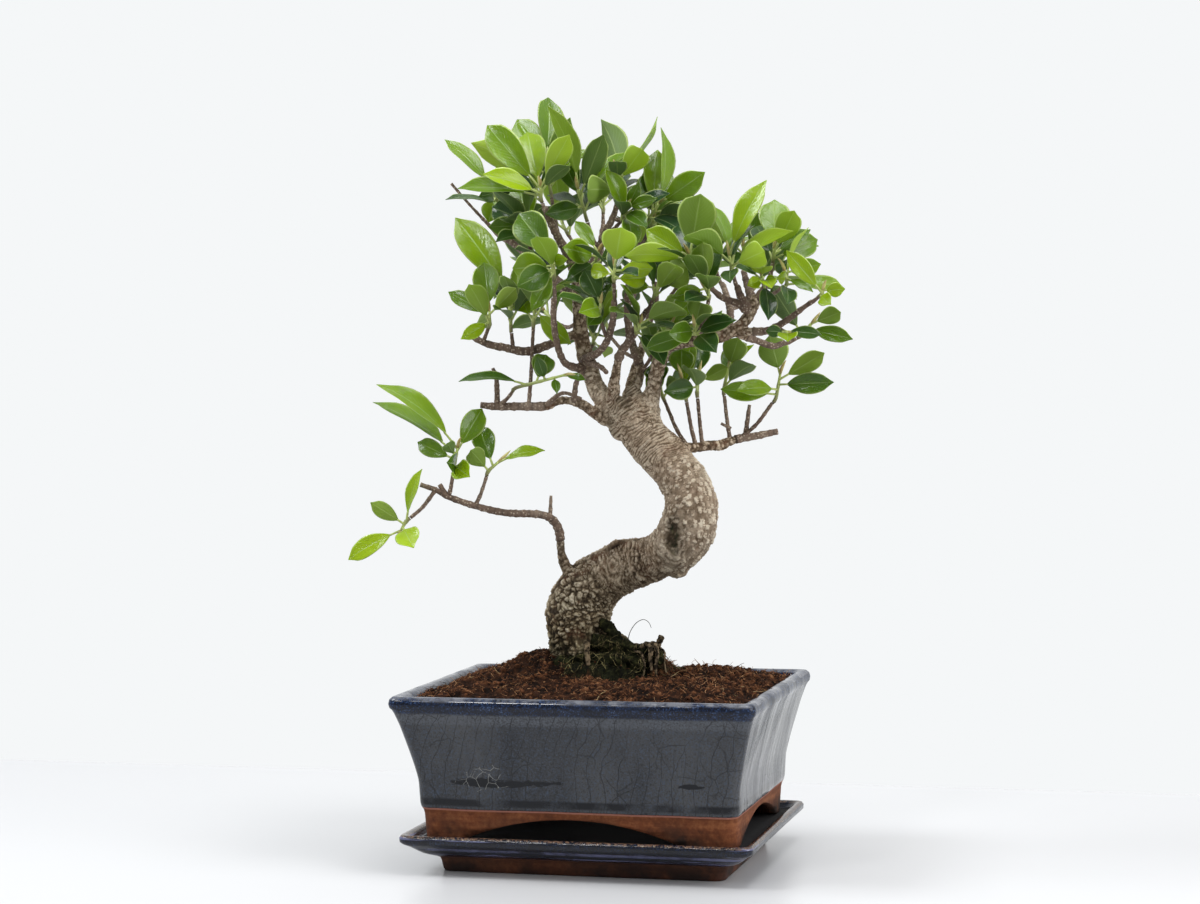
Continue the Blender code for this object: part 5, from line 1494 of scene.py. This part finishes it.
def knotted(vertices, height, raised):
    """Ridges round each knot in the bark, and its pit."""
    for x, y, z, radius, spacing, depth, lower_side in KNOTS:
        offset = vertices - np.array((x, y, z))
        away = np.linalg.norm(offset * np.array((1.0, 0.6, 0.60)), axis=1)
        away += 1.5 * grain(vertices / 5.0, 91) + 0.6 * grain(vertices / 1.8, 92)
        near = 1.0 - ease(away, radius * 0.70, radius * 1.35)
        near *= 1.0 - lower_side + lower_side * ease(-offset[:, 2], -4.0, 5.0)
        wave = np.cos(math.tau * away / spacing) * (0.55 + 0.45 * grain(vertices / 4.0, 93))
        height = height * (1.0 - near * 0.6) + near * 0.45 * wave
        raised = raised * (1.0 - near * 0.45) + near * 0.50 * (0.5 + 0.5 * wave)
        pit = 1.0 - ease(away + 1.2 * grain(vertices / 2.2, 94), radius * 0.25, radius * 0.62)
        height -= pit * depth
        raised *= 1.0 - 0.60 * pit
    return height, raised


def moss_share(vertices):
    """How mossy the wood is: at its foot and in a few spots higher up."""
    moss = 0.95 * ease(-vertices[:, 2] + 4.0 * grain(vertices / 6.0, 95), -126.0, -110.0)
    for centre, reach, strength in MOSS_SPOTS:
        offset = (vertices - np.array(centre)) / np.array(reach)
        moss += strength * np.exp(-(offset ** 2).sum(axis=1))
    moss += ease(vertices[:, 0], -8.0, 2.0) * ease(-vertices[:, 2], -136.0, -124.0)
    return np.clip(moss, 0.0, 1.0)


def bark_patterns(own, run, trunk):
    """The bark's warts, dots and rings, from 0 to 1, and each ring's own tone."""
    warp = np.stack([rough_grain(own / 7.0, seed, 3) for seed in (5, 6, 7)], axis=1)
    warts, wart_edges, wart_tone = cell_field(own / np.array((4.2, 4.2, 3.1)) + warp * 0.62, 51)
    web = ease(wart_edges - warts, 0.0, 0.34) * (0.70 + 0.30 * wart_tone)
    for seed, size in ((181, 3.4), (191, 5.2)):
        wrinkle = rough_grain(own / np.array((size, size, 0.7 * size)) + warp * 0.4, seed, 2)
        web *= 0.35 + 0.65 * ease(np.abs(wrinkle), 0.0, 0.16)
    dots, _, dot_tone = cell_field(own / np.array((3.6, 3.6, 2.4)) + warp * 0.20, 61)
    dot = 1.0 - ease(dots - 0.14 * dot_tone + 0.12 * grain(own / 1.3, 65), 0.27, 0.41)
    rings, ring_edges, ring_tone = cell_field(own / np.array((8.0, 8.0, 1.8)) + warp * 0.50, 71)
    ring = ease(ring_edges - rings, 0.0, 0.46) * (0.45 + 0.55 * ring_tone)
    bend = 2.0 * rough_grain(own / np.array((9.0, 9.0, 7.0)), 75, 2)
    ring = 0.55 * ring + 0.45 * ease(np.sin(math.tau * (run / 1.6 + bend)), -0.7, 0.6)
    small, _, small_tone = cell_field(own / np.array((2.7, 2.7, 1.8)) + warp * 0.22, 67)
    dot = np.maximum(dot, 0.85 * (1.0 - ease(small + 0.26 * small_tone, 0.28, 0.42)))
    groove = 0.75 * ease(run, 64.0, 84.0) * trunk
    return web * (1.0 - groove) + ring * groove, dot, ring, ring_tone


def bark_relief(vertices, place, owner, clear):
    """Height of the bark in millimetres, and how raised it is from 0 to 1, which sets the finish's
    painted shade in creases, cracks, knot pits and the slit.
    """
    own = place + owner[:, None] * 37.0
    run = place[:, 2]
    trunk = owner == 0
    web, dot, ring, ring_tone = bark_patterns(own, run, trunk)
    lower = 1.0 - ease(run, 104.0, 126.0)
    upper = ease(run, 160.0, 182.0)
    middle = (1.0 - lower) * (1.0 - upper)
    lower, middle, upper = (np.where(trunk, item, other)
                            for item, other in ((lower, 0.1), (middle, 0.55), (upper, 0.35)))
    height = lower * (web * 1.45 - 0.80) + middle * (dot * 0.55 - 0.15) + upper * (
        ring * 0.60 - 0.25)
    outline = 4.0 * dot * (1.0 - dot)
    dotted = 0.38 + dot * 0.62 - 0.42 * outline + 0.16 * grain(own / 2.2, 98)
    ringed = 0.16 + ring * (0.52 + 0.40 * ring_tone)
    raised = lower * (0.02 + 0.98 * web) + middle * dotted + upper * ringed
    wide = np.hypot(place[:, 0], place[:, 1])
    pale = np.where(trunk, 1.0, 0.30 + 0.70 * ease(wide, 3.8, 6.6))
    thin = 0.06 + 0.30 * web + 0.34 * dot + 0.22 * grain(own / 0.9, 96)
    raised = raised * pale + thin * (1.0 - pale)
    crack = 1.0 - ease(np.abs(rough_grain(own / np.array((15.0, 15.0, 5.5)), 131, 3)), 0.0, 0.07)
    crack *= lower + 0.5 * upper
    height -= crack * 0.6
    raised *= 1.0 - 0.75 * crack
    foot = 1.0 - ease(vertices[:, 2], 112.0, 136.0)
    ridge = np.abs(rough_grain(own / np.array((3.0, 3.0, 16.0)), 81))
    height -= foot * (1.0 - ease(ridge, 0.0, 0.32)) * 1.5
    raised *= 1.0 - 0.70 * foot * (1.0 - ease(ridge, 0.0, 0.4))
    height, raised = knotted(vertices, height, raised)
    slit = (vertices - np.array(WOUND)) / np.array((5.0, 7.0, 1.3))
    slit[:, 2] -= 2.2 * slit[:, 0]
    wound = np.exp(-(slit ** 2).sum(axis=1))
    lips = np.exp(-((slit * np.array((0.8, 0.7, 0.40))) ** 2).sum(axis=1))
    height += 2.6 * lips - 4.6 * wound
    raised *= 1.0 - 0.95 * np.clip(1.6 * wound, 0.0, 1.0)
    height += 0.24 * grain(own / 1.2, 101) + 0.55 * rough_grain(own / 7.0, 111, 2)
    height *= np.where(trunk, 1.0, 0.75) * (0.35 + 0.65 * clear)
    height -= np.where(trunk, 0.0, 0.45)
    return height, np.clip(raised, 0.0, 1.0)


def grown_together(piece, voxel, soften):
    """Make one even, softened skin of a piece's overlapping tubes."""
    tidy_normals(piece.data)
    remesh = piece.modifiers.new("Grow together", "REMESH")
    remesh.mode = "VOXEL"
    remesh.voxel_size = voxel * MM
    smooth = piece.modifiers.new("Soften", "SMOOTH")
    smooth.factor = 0.5
    smooth.iterations = soften
    keep_result(piece)


def carved(name, skin, lines, voxel, bark):
    """Grow a skin of overlapping tubes together and carve its bark."""
    piece = mesh_piece(name, skin.points, skin.faces, [bark])
    grown_together(piece, voxel, 14)
    vertices = spots_of(piece.data)
    height, raised = bark_relief(vertices, *along_wood(vertices, lines))
    push_out(piece.data, vertices, height)
    note(piece.data, raised=raised, moss=moss_share(vertices))
    settle(piece, "bark", "tree")


def make_trunk(bark):
    """The trunk with its roots, knobs and the collars of its limbs, then the limbs."""
    trunk, limbs = stout_lines()
    skin = Skin()
    for line in trunk.values():
        skin.add(*swept(line, 24 if line[0].w > 7.0 else 14))
    for line in limbs.values():
        skin.add(*swept(line[:10], 16))
    for *centre, radius in KNOBS:
        points, faces = ball(radius, 3)
        skin.add([point + Vector(centre) for point in points], faces)
    carved("trunk", skin, {**trunk, **limbs}, TRUNK_VOXEL, bark)
    skin = Skin()
    for line in limbs.values():
        skin.add(*swept(line, 16))
    carved("limbs", skin, {"trunk": trunk["trunk"], **limbs}, LIMB_VOXEL, bark)


def branch_skin(skin, line, seed, sides=10):
    """One thin branch with ring scars and small bumps."""
    chance = random.Random(SEED + seed)
    run = 0.0
    next_scar = chance.uniform(1.0, 4.0)
    scars = []
    for place in range(1, len(line)):
        run += (line[place].xyz - line[place - 1].xyz).length
        if run > next_scar:
            scars.append(place)
            next_scar = run + chance.uniform(2.5, 7.0)
    bump = Vector([chance.uniform(-50, 50) for _ in range(3)])

    def swell(place, turn):
        angle = math.tau * turn
        here = Vector((math.cos(angle) * 1.1, math.sin(angle) * 1.1, place * 0.55)) + bump
        return 0.97 + 0.16 * noise.noise(here) + (0.13 if place in scars else 0.0)

    raised = []
    for place in range(len(line)):
        raised += [0.8 if place in scars else 0.3 + 0.4 * ((place * 7) % 5) / 5.0] * sides
    skin.add(*swept(line, sides, swell), raised=raised)


def make_branches(twigs, bark):
    skin = Skin("raised")
    for seed, route in enumerate(BRANCHES.values()):
        thin = [point for point in smooth_route(route, 1.4) if point.w < 2.6]
        if len(thin) > 2:
            branch_skin(skin, thin, seed)
    for seed, line in enumerate(twigs.values()):
        branch_skin(skin, smooth_route(line, 1.4), 100 + seed, 8)
    piece = skin.piece("branches_and_twigs", [bark])
    tidy_normals(piece.data)
    settle(piece, "bark", "tree")


# Leafy stems

def blade_width(reach):
    """Half the fine blade's width as a share of its full width: an ellipse with a drip tip."""
    taper = min(1.0, max(0.0, (reach - 0.80) / 0.20))
    return 0.5 * math.sin(math.pi * reach ** 1.06) ** 0.74 * (1.0 - 0.50 * taper)


def blade_skin(skin, leaf, age, chance):
    """A waxy blade, folded a little along its midrib, on a round stalk."""
    fold = chance.uniform(0.18, 0.42)
    phase = chance.uniform(0.0, math.tau)
    curl = chance.uniform(0.25, 0.55)
    upper_points, lower_points, uvs = [], [], []
    for share in BLADE_ROWS:
        point, side, upper = leaf_frame(leaf, share)
        reach = (share - PETIOLE) / (1.0 - PETIOLE)
        wide = max(leaf.width * blade_width(reach), 0.40)
        for column in BLADE_COLUMNS:
            wave = curl * abs(column) ** 2 * math.sin(math.tau * 1.7 * reach + phase
                                                      + (1.1 if column > 0 else 0.0))
            lift = fold * wide * abs(column) ** 1.4 + wave * min(1.0, wide / 4.0)
            here = point + side * (wide * column) + upper * lift
            half = 0.20 * (1.0 - abs(column) ** 3)
            rib = 0.30 * (1.0 - reach) if column == 0.0 else 0.0
            upper_points.append(here + upper * half)
            lower_points.append(here - upper * (half + rib))
            uvs.append((0.5 + 0.5 * column, reach))
    tip = leaf_frame(leaf, 1.0)[0]
    width = len(BLADE_COLUMNS)
    count = len(upper_points)
    last = count - width
    top = grid_faces(width, len(BLADE_ROWS) - 1)
    top += [(last + column, last + column + 1, 2 * count) for column in range(width - 1)]
    under = [[corner + count if corner < count else corner for corner in face][::-1]
             for face in top]
    base = [(column + 1, column, count + column, count + column + 1)
            for column in range(width - 1)]
    skin.add(upper_points + lower_points + [tip], top + under + base,
             [0] * len(top) + [1] * (len(under) + len(base)), uvs + uvs + [(0.5, 1.0)], age=age)
    stalk = []
    for place in range(5):
        point, _, upper = leaf_frame(leaf, PETIOLE * 1.15 * place / 4.0)
        stalk.append(Vector((*(point - upper * 0.15), 0.72 - 0.12 * place / 4.0)))
    skin.add(*swept(stalk, 6), 2, age=0.15)


def bud_skin(skin, green, chance):
    """The pointed bud that ends a stem, wrapped in its scale."""
    tip = green[-1].xyz
    along = (tip - green[-2].xyz).normalized()
    bend = Vector([chance.uniform(-0.3, 0.3) for _ in range(3)])
    length = chance.uniform(6.0, 9.5)
    line = []
    for place, radius in enumerate((0.75, 1.0, 0.95, 0.62, 0.12)):
        share = place / 4.0
        line.append(Vector((*(tip + (along + bend * share).normalized() * length * share),
                            radius)))
    skin.add(*swept(line, 7), 3, age=0.2)


def inner_leaves(stem, number, green, twig, space):
    """Small shaded leaves low on the stem and on its twig, wherever there is room."""
    if stem.name in BARE_TWIGS:
        return []
    chance = random.Random(SEED * 5 + number)
    leaves = []
    for share in (0.46, 0.58, 0.70, 0.80):
        base, axis = point_on([*twig, *green], share)
        side = axis.orthogonal().normalized()
        for _ in range(10):
            along = leaning(axis, side, chance.uniform(0.0, math.tau),
                            math.radians(chance.uniform(40.0, 75.0)))
            length = chance.uniform(24.0, 33.0)
            leaf = further_leaf(base, base + along * length, axis,
                                length * chance.uniform(0.36, 0.44), chance)
            inside = all(low < reach < high for reach, (low, high) in zip(leaf.tip, CROWN_BOX))
            if inside and space.free(leaf_shape(leaf, INNER_CLEARANCE),
                                     leaf_shape(leaf, OWN_CLEARANCE, True), number):
                space.add(leaf_shape(leaf), number)
                leaves.append(leaf)
                break
    return leaves


def make_leafy_stems(greens, twigs, space, finishes):
    """Green tips with their buds and leaves, the inner leaves placed after all the others."""
    grown = [grow_leaves(stem, number, green, space)
             for number, (stem, green) in enumerate(zip(STEMS, greens))]
    for number, (stem, green, leaves) in enumerate(zip(STEMS, greens, grown)):
        chance = random.Random(SEED * 3 + number)
        skin = Skin("age")
        line = smooth_route(green, 1.6)
        count = len(line)

        def joint(place, turn, count=count):
            return 1.22 if place % 5 == 2 and place > 0.2 * count else 1.0

        old = [max(0.0, 1.0 - 1.3 * place / count) for place in range(count) for _ in range(8)]
        skin.add(*swept(line, 8, joint), 2, age=old)
        bud_skin(skin, green, chance)
        young_and_lit = YOUNG_AND_LIT.get(stem.name, 0.0)
        length = max(1.0, (green[-1].xyz - green[0].xyz).length)
        for leaf in leaves:
            late = min(1.0, (leaf.base - green[0].xyz).length / length)
            # Those stems' leaves are painted brighter: young growth, and painted light where the
            # crown is lit.
            age = 0.65 + chance.uniform(-0.30, 0.28) - 0.30 * late * chance.random() - young_and_lit
            blade_skin(skin, leaf, min(1.0, max(0.0, age)), chance)
        for leaf in inner_leaves(stem, number, green, twigs[stem.name], space):
            blade_skin(skin, leaf, chance.uniform(0.75, 1.0), chance)
        piece = skin.piece("leafy_shoot_" + stem.name, finishes)
        tidy_normals(piece.data)
        settle(piece, "leaf", "leafy_stem_" + stem.name)


# Fibres, crumbs and moss

def scatter(host, name, weight, settings):
    """Shapes strewn over an object's upward faces by Geometry Nodes, kept as a plain mesh."""
    tree = bpy.data.node_groups.new("Strew " + name, "GeometryNodeTree")
    new_socket = tree.interface.new_socket
    new_socket("Geometry", in_out="INPUT", socket_type="NodeSocketGeometry")
    sockets = {label: new_socket(label, in_out="INPUT", socket_type="NodeSocket" + kind).identifier
               for label, kind in SCATTER_INPUTS.items()}
    new_socket("Geometry", in_out="OUTPUT", socket_type="NodeSocketGeometry")

    def node(kind, inputs=None, **choices):
        return add_node(tree, kind, inputs, **choices).outputs

    given = node("NodeGroupInput")
    facing = node("ShaderNodeSeparateXYZ", {0: node("GeometryNodeInputNormal")[0]})
    upward = node("FunctionNodeCompare", {0: facing["Z"], 1: 0.25}, operation="GREATER_THAN")
    named = node("GeometryNodeInputNamedAttribute", {"Name": weight}, data_type="FLOAT")
    density = node("ShaderNodeMath", {0: named["Attribute"], 1: given["Density"]},
                   operation="MULTIPLY")
    spread = node("GeometryNodeDistributePointsOnFaces", {
        "Mesh": given["Geometry"], "Seed": given["Seed"], "Selection": upward[0],
        "Density": density[0]})
    kinds = node("GeometryNodeCollectionInfo", {
        "Collection": given["Shapes"], "Separate Children": True, "Reset Children": True})
    size = node("FunctionNodeRandomValue", {
        2: given["Smallest"], 3: given["Largest"], "Seed": given["Seed"]})
    back = node("ShaderNodeMath", {0: given["Tilt"], 1: -1.0}, operation="MULTIPLY")[0]
    low = node("ShaderNodeCombineXYZ", {0: back, 1: back})
    high = node("ShaderNodeCombineXYZ", {0: given["Tilt"], 1: given["Tilt"], 2: math.tau})
    angle = node("FunctionNodeRandomValue", data_type="FLOAT_VECTOR",
                 inputs={0: low[0], 1: high[0], "Seed": given["Seed"]})
    laid = node("GeometryNodeInstanceOnPoints", {
        "Points": spread["Points"], "Instance": kinds["Instances"], "Pick Instance": True,
        "Scale": size[1], "Rotation": angle[0]})
    real = node("GeometryNodeRealizeInstances", {0: laid["Instances"]})
    paint = node("GeometryNodeSetMaterial", {"Geometry": real[0], "Material": given["Finish"]})
    node("NodeGroupOutput", {0: paint[0]})
    piece = bpy.data.objects.new(name, host.data)
    bpy.context.scene.collection.objects.link(piece)
    modifier = piece.modifiers.new("Strew", "NODES")
    modifier.node_group = tree
    for label, value in settings.items():
        modifier[sockets[label]] = value
    keep_result(piece)
    return piece


def hidden_shapes(name, shapes):
    """A collection of small shapes that only the scatter uses."""
    group = bpy.data.collections.new(name)
    bpy.context.scene.collection.children.link(group)
    for place, (points, faces) in enumerate(shapes):
        item = mesh_piece(f"{name}_{place}", points, faces, [])
        bpy.context.scene.collection.objects.unlink(item)
        group.objects.link(item)
    return group


def drop_shapes(group):
    for item in list(group.objects):
        bpy.data.objects.remove(item)
    bpy.data.collections.remove(group)


def fibre(seed, length, radius, wander):
    """One curved hair of coir or root, three-sided."""
    chance = random.Random(seed)
    heading = 0.0
    rise = chance.uniform(-0.15, 0.45)
    place = Vector((0.0, 0.0, 0.15))
    line = []
    for step in range(7):
        line.append(Vector((*place, radius * (1.0 - 0.10 * step))))
        heading += chance.uniform(-wander, wander)
        rise += chance.uniform(-0.35, 0.25)
        place = place + Vector((math.cos(heading), math.sin(heading), rise)) * length / 6.0
    return swept(line, 3)


def crumb(seed):
    """One lump of peat."""
    chance = random.Random(seed)
    points, faces = ball(1.0, 1)
    return [point * chance.uniform(0.65, 1.25) for point in points], faces


def moss_thread(seed, length, radius):
    """One upright thread of moss."""
    chance = random.Random(seed)
    lean = Vector((chance.uniform(-0.5, 0.5), chance.uniform(-0.5, 0.5), 1.0))
    line = []
    for step in range(5):
        droop = Vector((0.35 * step ** 2 * lean.x, 0.35 * step ** 2 * lean.y, 0.0))
        line.append(Vector((*(lean * (length * step / 4.0) + droop), radius * (1.0 - 0.2 * step))))
    return swept(line, 3)


def strew_soil(ground):
    """Coir fibres and peat crumbs over the open soil, and moss threads on its mossy part."""
    red = fibre_finish("coir fibre", (0.016, 0.006, 0.003), (0.230, 0.098, 0.043))
    tan = fibre_finish("light coir fibre", (0.100, 0.044, 0.019), (0.450, 0.250, 0.125))
    straw = fibre_finish("pale fibre", (0.30, 0.19, 0.09), (0.52, 0.40, 0.21))
    peat = fibre_finish("peat crumb", (0.008, 0.003, 0.002), (0.110, 0.043, 0.019))
    green = fibre_finish("moss thread", (0.005, 0.005, 0.003), (0.048, 0.046, 0.017))
    jobs = (
        ("coir_fibres", [fibre(seed, 3.9, 0.22, 1.1) for seed in range(8)], "open_soil",
         190000.0, 0.5, 1.35, 0.55, red),
        ("light_fibres", [fibre(20 + seed, 4.5, 0.16, 0.9) for seed in range(6)], "open_soil",
         56000.0, 0.5, 1.3, 0.55, tan),
        ("pale_fibres", [fibre(40 + seed, 9.0, 0.15, 0.5) for seed in range(5)], "open_soil",
         2200.0, 0.4, 1.3, 0.40, straw),
        ("peat_crumbs", [crumb(seed) for seed in range(6)], "open_soil",
         32000.0, 0.35, 1.6, 3.0, peat),
        ("moss_threads", [moss_thread(seed, 2.2, 0.22) for seed in range(6)], "mossy",
         200000.0, 0.5, 1.2, 0.9, green),
    )
    for seed, (name, shapes, weight, density, low, high, tilt, finish) in enumerate(jobs):
        group = hidden_shapes(name + "_shapes", shapes)
        piece = scatter(ground, name, weight, {
            "Density": density, "Smallest": low, "Largest": high, "Tilt": tilt,
            "Seed": seed + 3, "Shapes": group, "Finish": finish})
        drop_shapes(group)
        settle(piece, "soil")


def make_moss_mound():
    """The black-green mound of moss and old roots round the trunk's foot."""
    skin = Skin()
    for route in MOSS_LINES:
        skin.add(*swept(smooth_route(route, 2.0), 12))
    piece = mesh_piece("moss_mound", skin.points, skin.faces, [moss_finish()])
    grown_together(piece, MOSS_VOXEL, 3)
    spots = spots_of(piece.data)
    near, _, tone = cell_field(spots / 2.6, 151)
    height = 1.5 * (1.0 - ease(near, 0.1, 0.7)) * tone + 0.5 * grain(spots / 1.3, 161)
    height += 0.9 * grain(spots / 5.0, 171) - 0.4
    push_out(piece.data, spots, height)
    settle(piece, "soil")
    return piece


def fine_root(number, chance, surfaces):
    """A root that lies on the mossy foot as it is seen from in front, or one too short to use."""
    x, z = chance.uniform(-24.0, 34.0), chance.uniform(101.0, 124.0)
    heading = chance.uniform(-2.9, -0.2)
    straight = number % 5 == 0
    size = chance.uniform(0.12, 0.20) if straight else chance.uniform(0.12, 0.30)
    line = []
    for step in range(chance.randint(6, 12)):
        start = Vector((x, -60.0, z + 25.0))
        hits = [hit[0] for hit in (surface.ray_cast(start, ROOT_RAY) for surface in surfaces)
                if hit[0]]
        if not hits:
            break
        here = min(hits, key=lambda hit: hit.y) - ROOT_RAY * (0.2 + 1.1 * chance.random())
        line.append(Vector((*here, size * (1.0 - 0.05 * step))))
        x += 1.25 * math.cos(heading)
        z += 1.25 * math.sin(heading)
        heading += chance.uniform(-0.1, 0.1) if straight else chance.uniform(-0.6, 0.6)
    return line, 1 if straight or number % 3 == 0 else 2


def make_foot_roots(*grounds):
    """Curled root stubs on the mossy foot, and fine roots that lie over it."""
    chance = random.Random(SEED + 5)
    skin = Skin()
    for route in ROOT_STUBS:
        skin.add(*swept(smooth_route(route, 0.7), 8, lambda place, turn: 0.92 + 0.10 * math.sin(
            2.1 * place) + 0.22 * noise.noise(Vector((place * 0.7, turn * 2.0, route[0][0])))))
    surfaces = [BVHTree.FromPolygons([vertex.co / MM for vertex in ground.data.vertices], [
        tuple(face.vertices) for face in ground.data.polygons]) for ground in grounds]
    for number in range(FINE_ROOTS):
        line, slot = fine_root(number, chance, surfaces)
        if len(line) > 3:
            skin.add(*swept(line, 5), slot)
    skin.add(*swept(smooth_route(HAIR_ROOT, 1.0), 5), 2)
    piece = skin.piece("foot_roots", [
        fibre_finish("root stub", (0.014, 0.010, 0.006), (0.180, 0.132, 0.080)),
        fibre_finish("straw root", (0.040, 0.034, 0.014), (0.26, 0.22, 0.10)),
        fibre_finish("old fine root", (0.010, 0.008, 0.004), (0.090, 0.072, 0.034))])
    tidy_normals(piece.data)
    settle(piece, "bark", "tree")


# Table, light and camera

def make_stage():
    """A pale table that ends where the photograph's does."""
    finish = Finish("pale table", TABLE_COLOUR, 0.28, 0.3)
    paler = tuple(min(1.0, part * 1.02) for part in TABLE_COLOUR)
    finish.colour(finish.blend(finish.noise(1.4, 3.0), TABLE_COLOUR, paler))
    half = TABLE_HALF
    floor = mesh_piece("floor", [(-half, -half, 0), (half, -half, 0), (half, TABLE_END, 0),
                                 (-half, TABLE_END, 0)], [(0, 1, 2, 3)], [finish.material])


def area_light(name, place, aim, size, power, colour):
    light = bpy.data.lights.new(name, "AREA")
    light.shape = "RECTANGLE"
    light.size, light.size_y = size[0] * MM, size[1] * MM
    light.energy = power
    light.color = colour
    item = bpy.data.objects.new(name, light)
    item.location = Vector(place) * MM
    item.rotation_euler = (Vector(aim) - Vector(place)).to_track_quat("-Z", "Y").to_euler()
    bpy.context.scene.collection.objects.link(item)


def make_backdrop():
    """A pale backdrop on every side, which lights the object mostly from behind."""
    world = bpy.data.worlds.new("Soft studio")
    world.use_nodes = True
    tree = world.node_tree
    around = Value(tree, add_node(tree, "ShaderNodeTexCoord").outputs["Generated"])
    glow = around.part("Y").ramp((0.0, (0.372, 0.384, 0.400)), (0.5, WALL_COLOUR))
    camera_ray = add_node(tree, "ShaderNodeLightPath").outputs["Is Camera Ray"]
    seen = add_node(tree, "ShaderNodeMix", {"Factor": camera_ray, 6: glow, 7: WALL_COLOUR},
                    data_type="RGBA")
    feed(tree, tree.nodes["Background"].inputs["Color"], seen.outputs[2])
    bpy.context.scene.world = world


def make_light():
    make_backdrop()
    for lamp in LAMPS:
        area_light(*lamp)
    bpy.context.scene.view_settings.view_transform = "Standard"


def make_camera():
    yaw, pitch, roll = (math.radians(angle) for angle in (CAMERA_YAW, CAMERA_PITCH, CAMERA_ROLL))
    ahead = Vector((-math.sin(yaw) * math.cos(pitch), math.cos(yaw) * math.cos(pitch),
                    math.sin(pitch)))
    right = Vector((math.cos(yaw), math.sin(yaw), 0.0))
    up = right.cross(ahead)
    right, up = (right * math.cos(roll) + up * math.sin(roll),
                 up * math.cos(roll) - right * math.sin(roll))
    data = bpy.data.cameras.new("photograph_view")
    data.sensor_width = SENSOR
    data.lens = CAMERA_LENS
    data.clip_start = 0.05
    data.clip_end = 20.0
    camera = bpy.data.objects.new("photograph_view", data)
    turn = Matrix((right, up, -ahead)).transposed().to_4x4()
    camera.matrix_world = Matrix.Translation(Vector(CAMERA_PLACE) * MM) @ turn
    bpy.context.scene.collection.objects.link(camera)
    bpy.context.scene.camera = camera


def stand_wood(space):
    """The same plain shapes of wood that the part's own leaf rule keeps clear of."""
    space.add(swept(smooth_route(TRUNK, 9.0), 12), -1)
    for route in BRANCHES.values():
        space.add(swept(smooth_route(route, 15.0), 6), -1)
    twigs = {}
    for stem in STEMS:
        line = twig_route(stem)
        space.add(swept(line, 6), -1)
        twigs[stem.name] = line
    return twigs


def main():
    make_camera()
    make_stage()
    make_light()
    make_saucer(saucer_glaze_finish())
    make_pot(pot_glaze_finish())
    ground = make_soil(soil_finish())
    strew_soil(ground)
    space = Space()
    twigs = stand_wood(space)
    make_trunk(bark_finish())
    make_branches(twigs, twig_finish())
    make_foot_roots(ground, make_moss_mound())
    greens = [stem_route(stem, twigs[stem.name]) for stem in STEMS]
    for number, green in enumerate(greens):
        space.add(swept(green, 6), number)
    make_leafy_stems(greens, twigs, space, [leaf_upper_finish(), leaf_lower_finish(),
                                            green_stem_finish(), bud_finish()])


main()
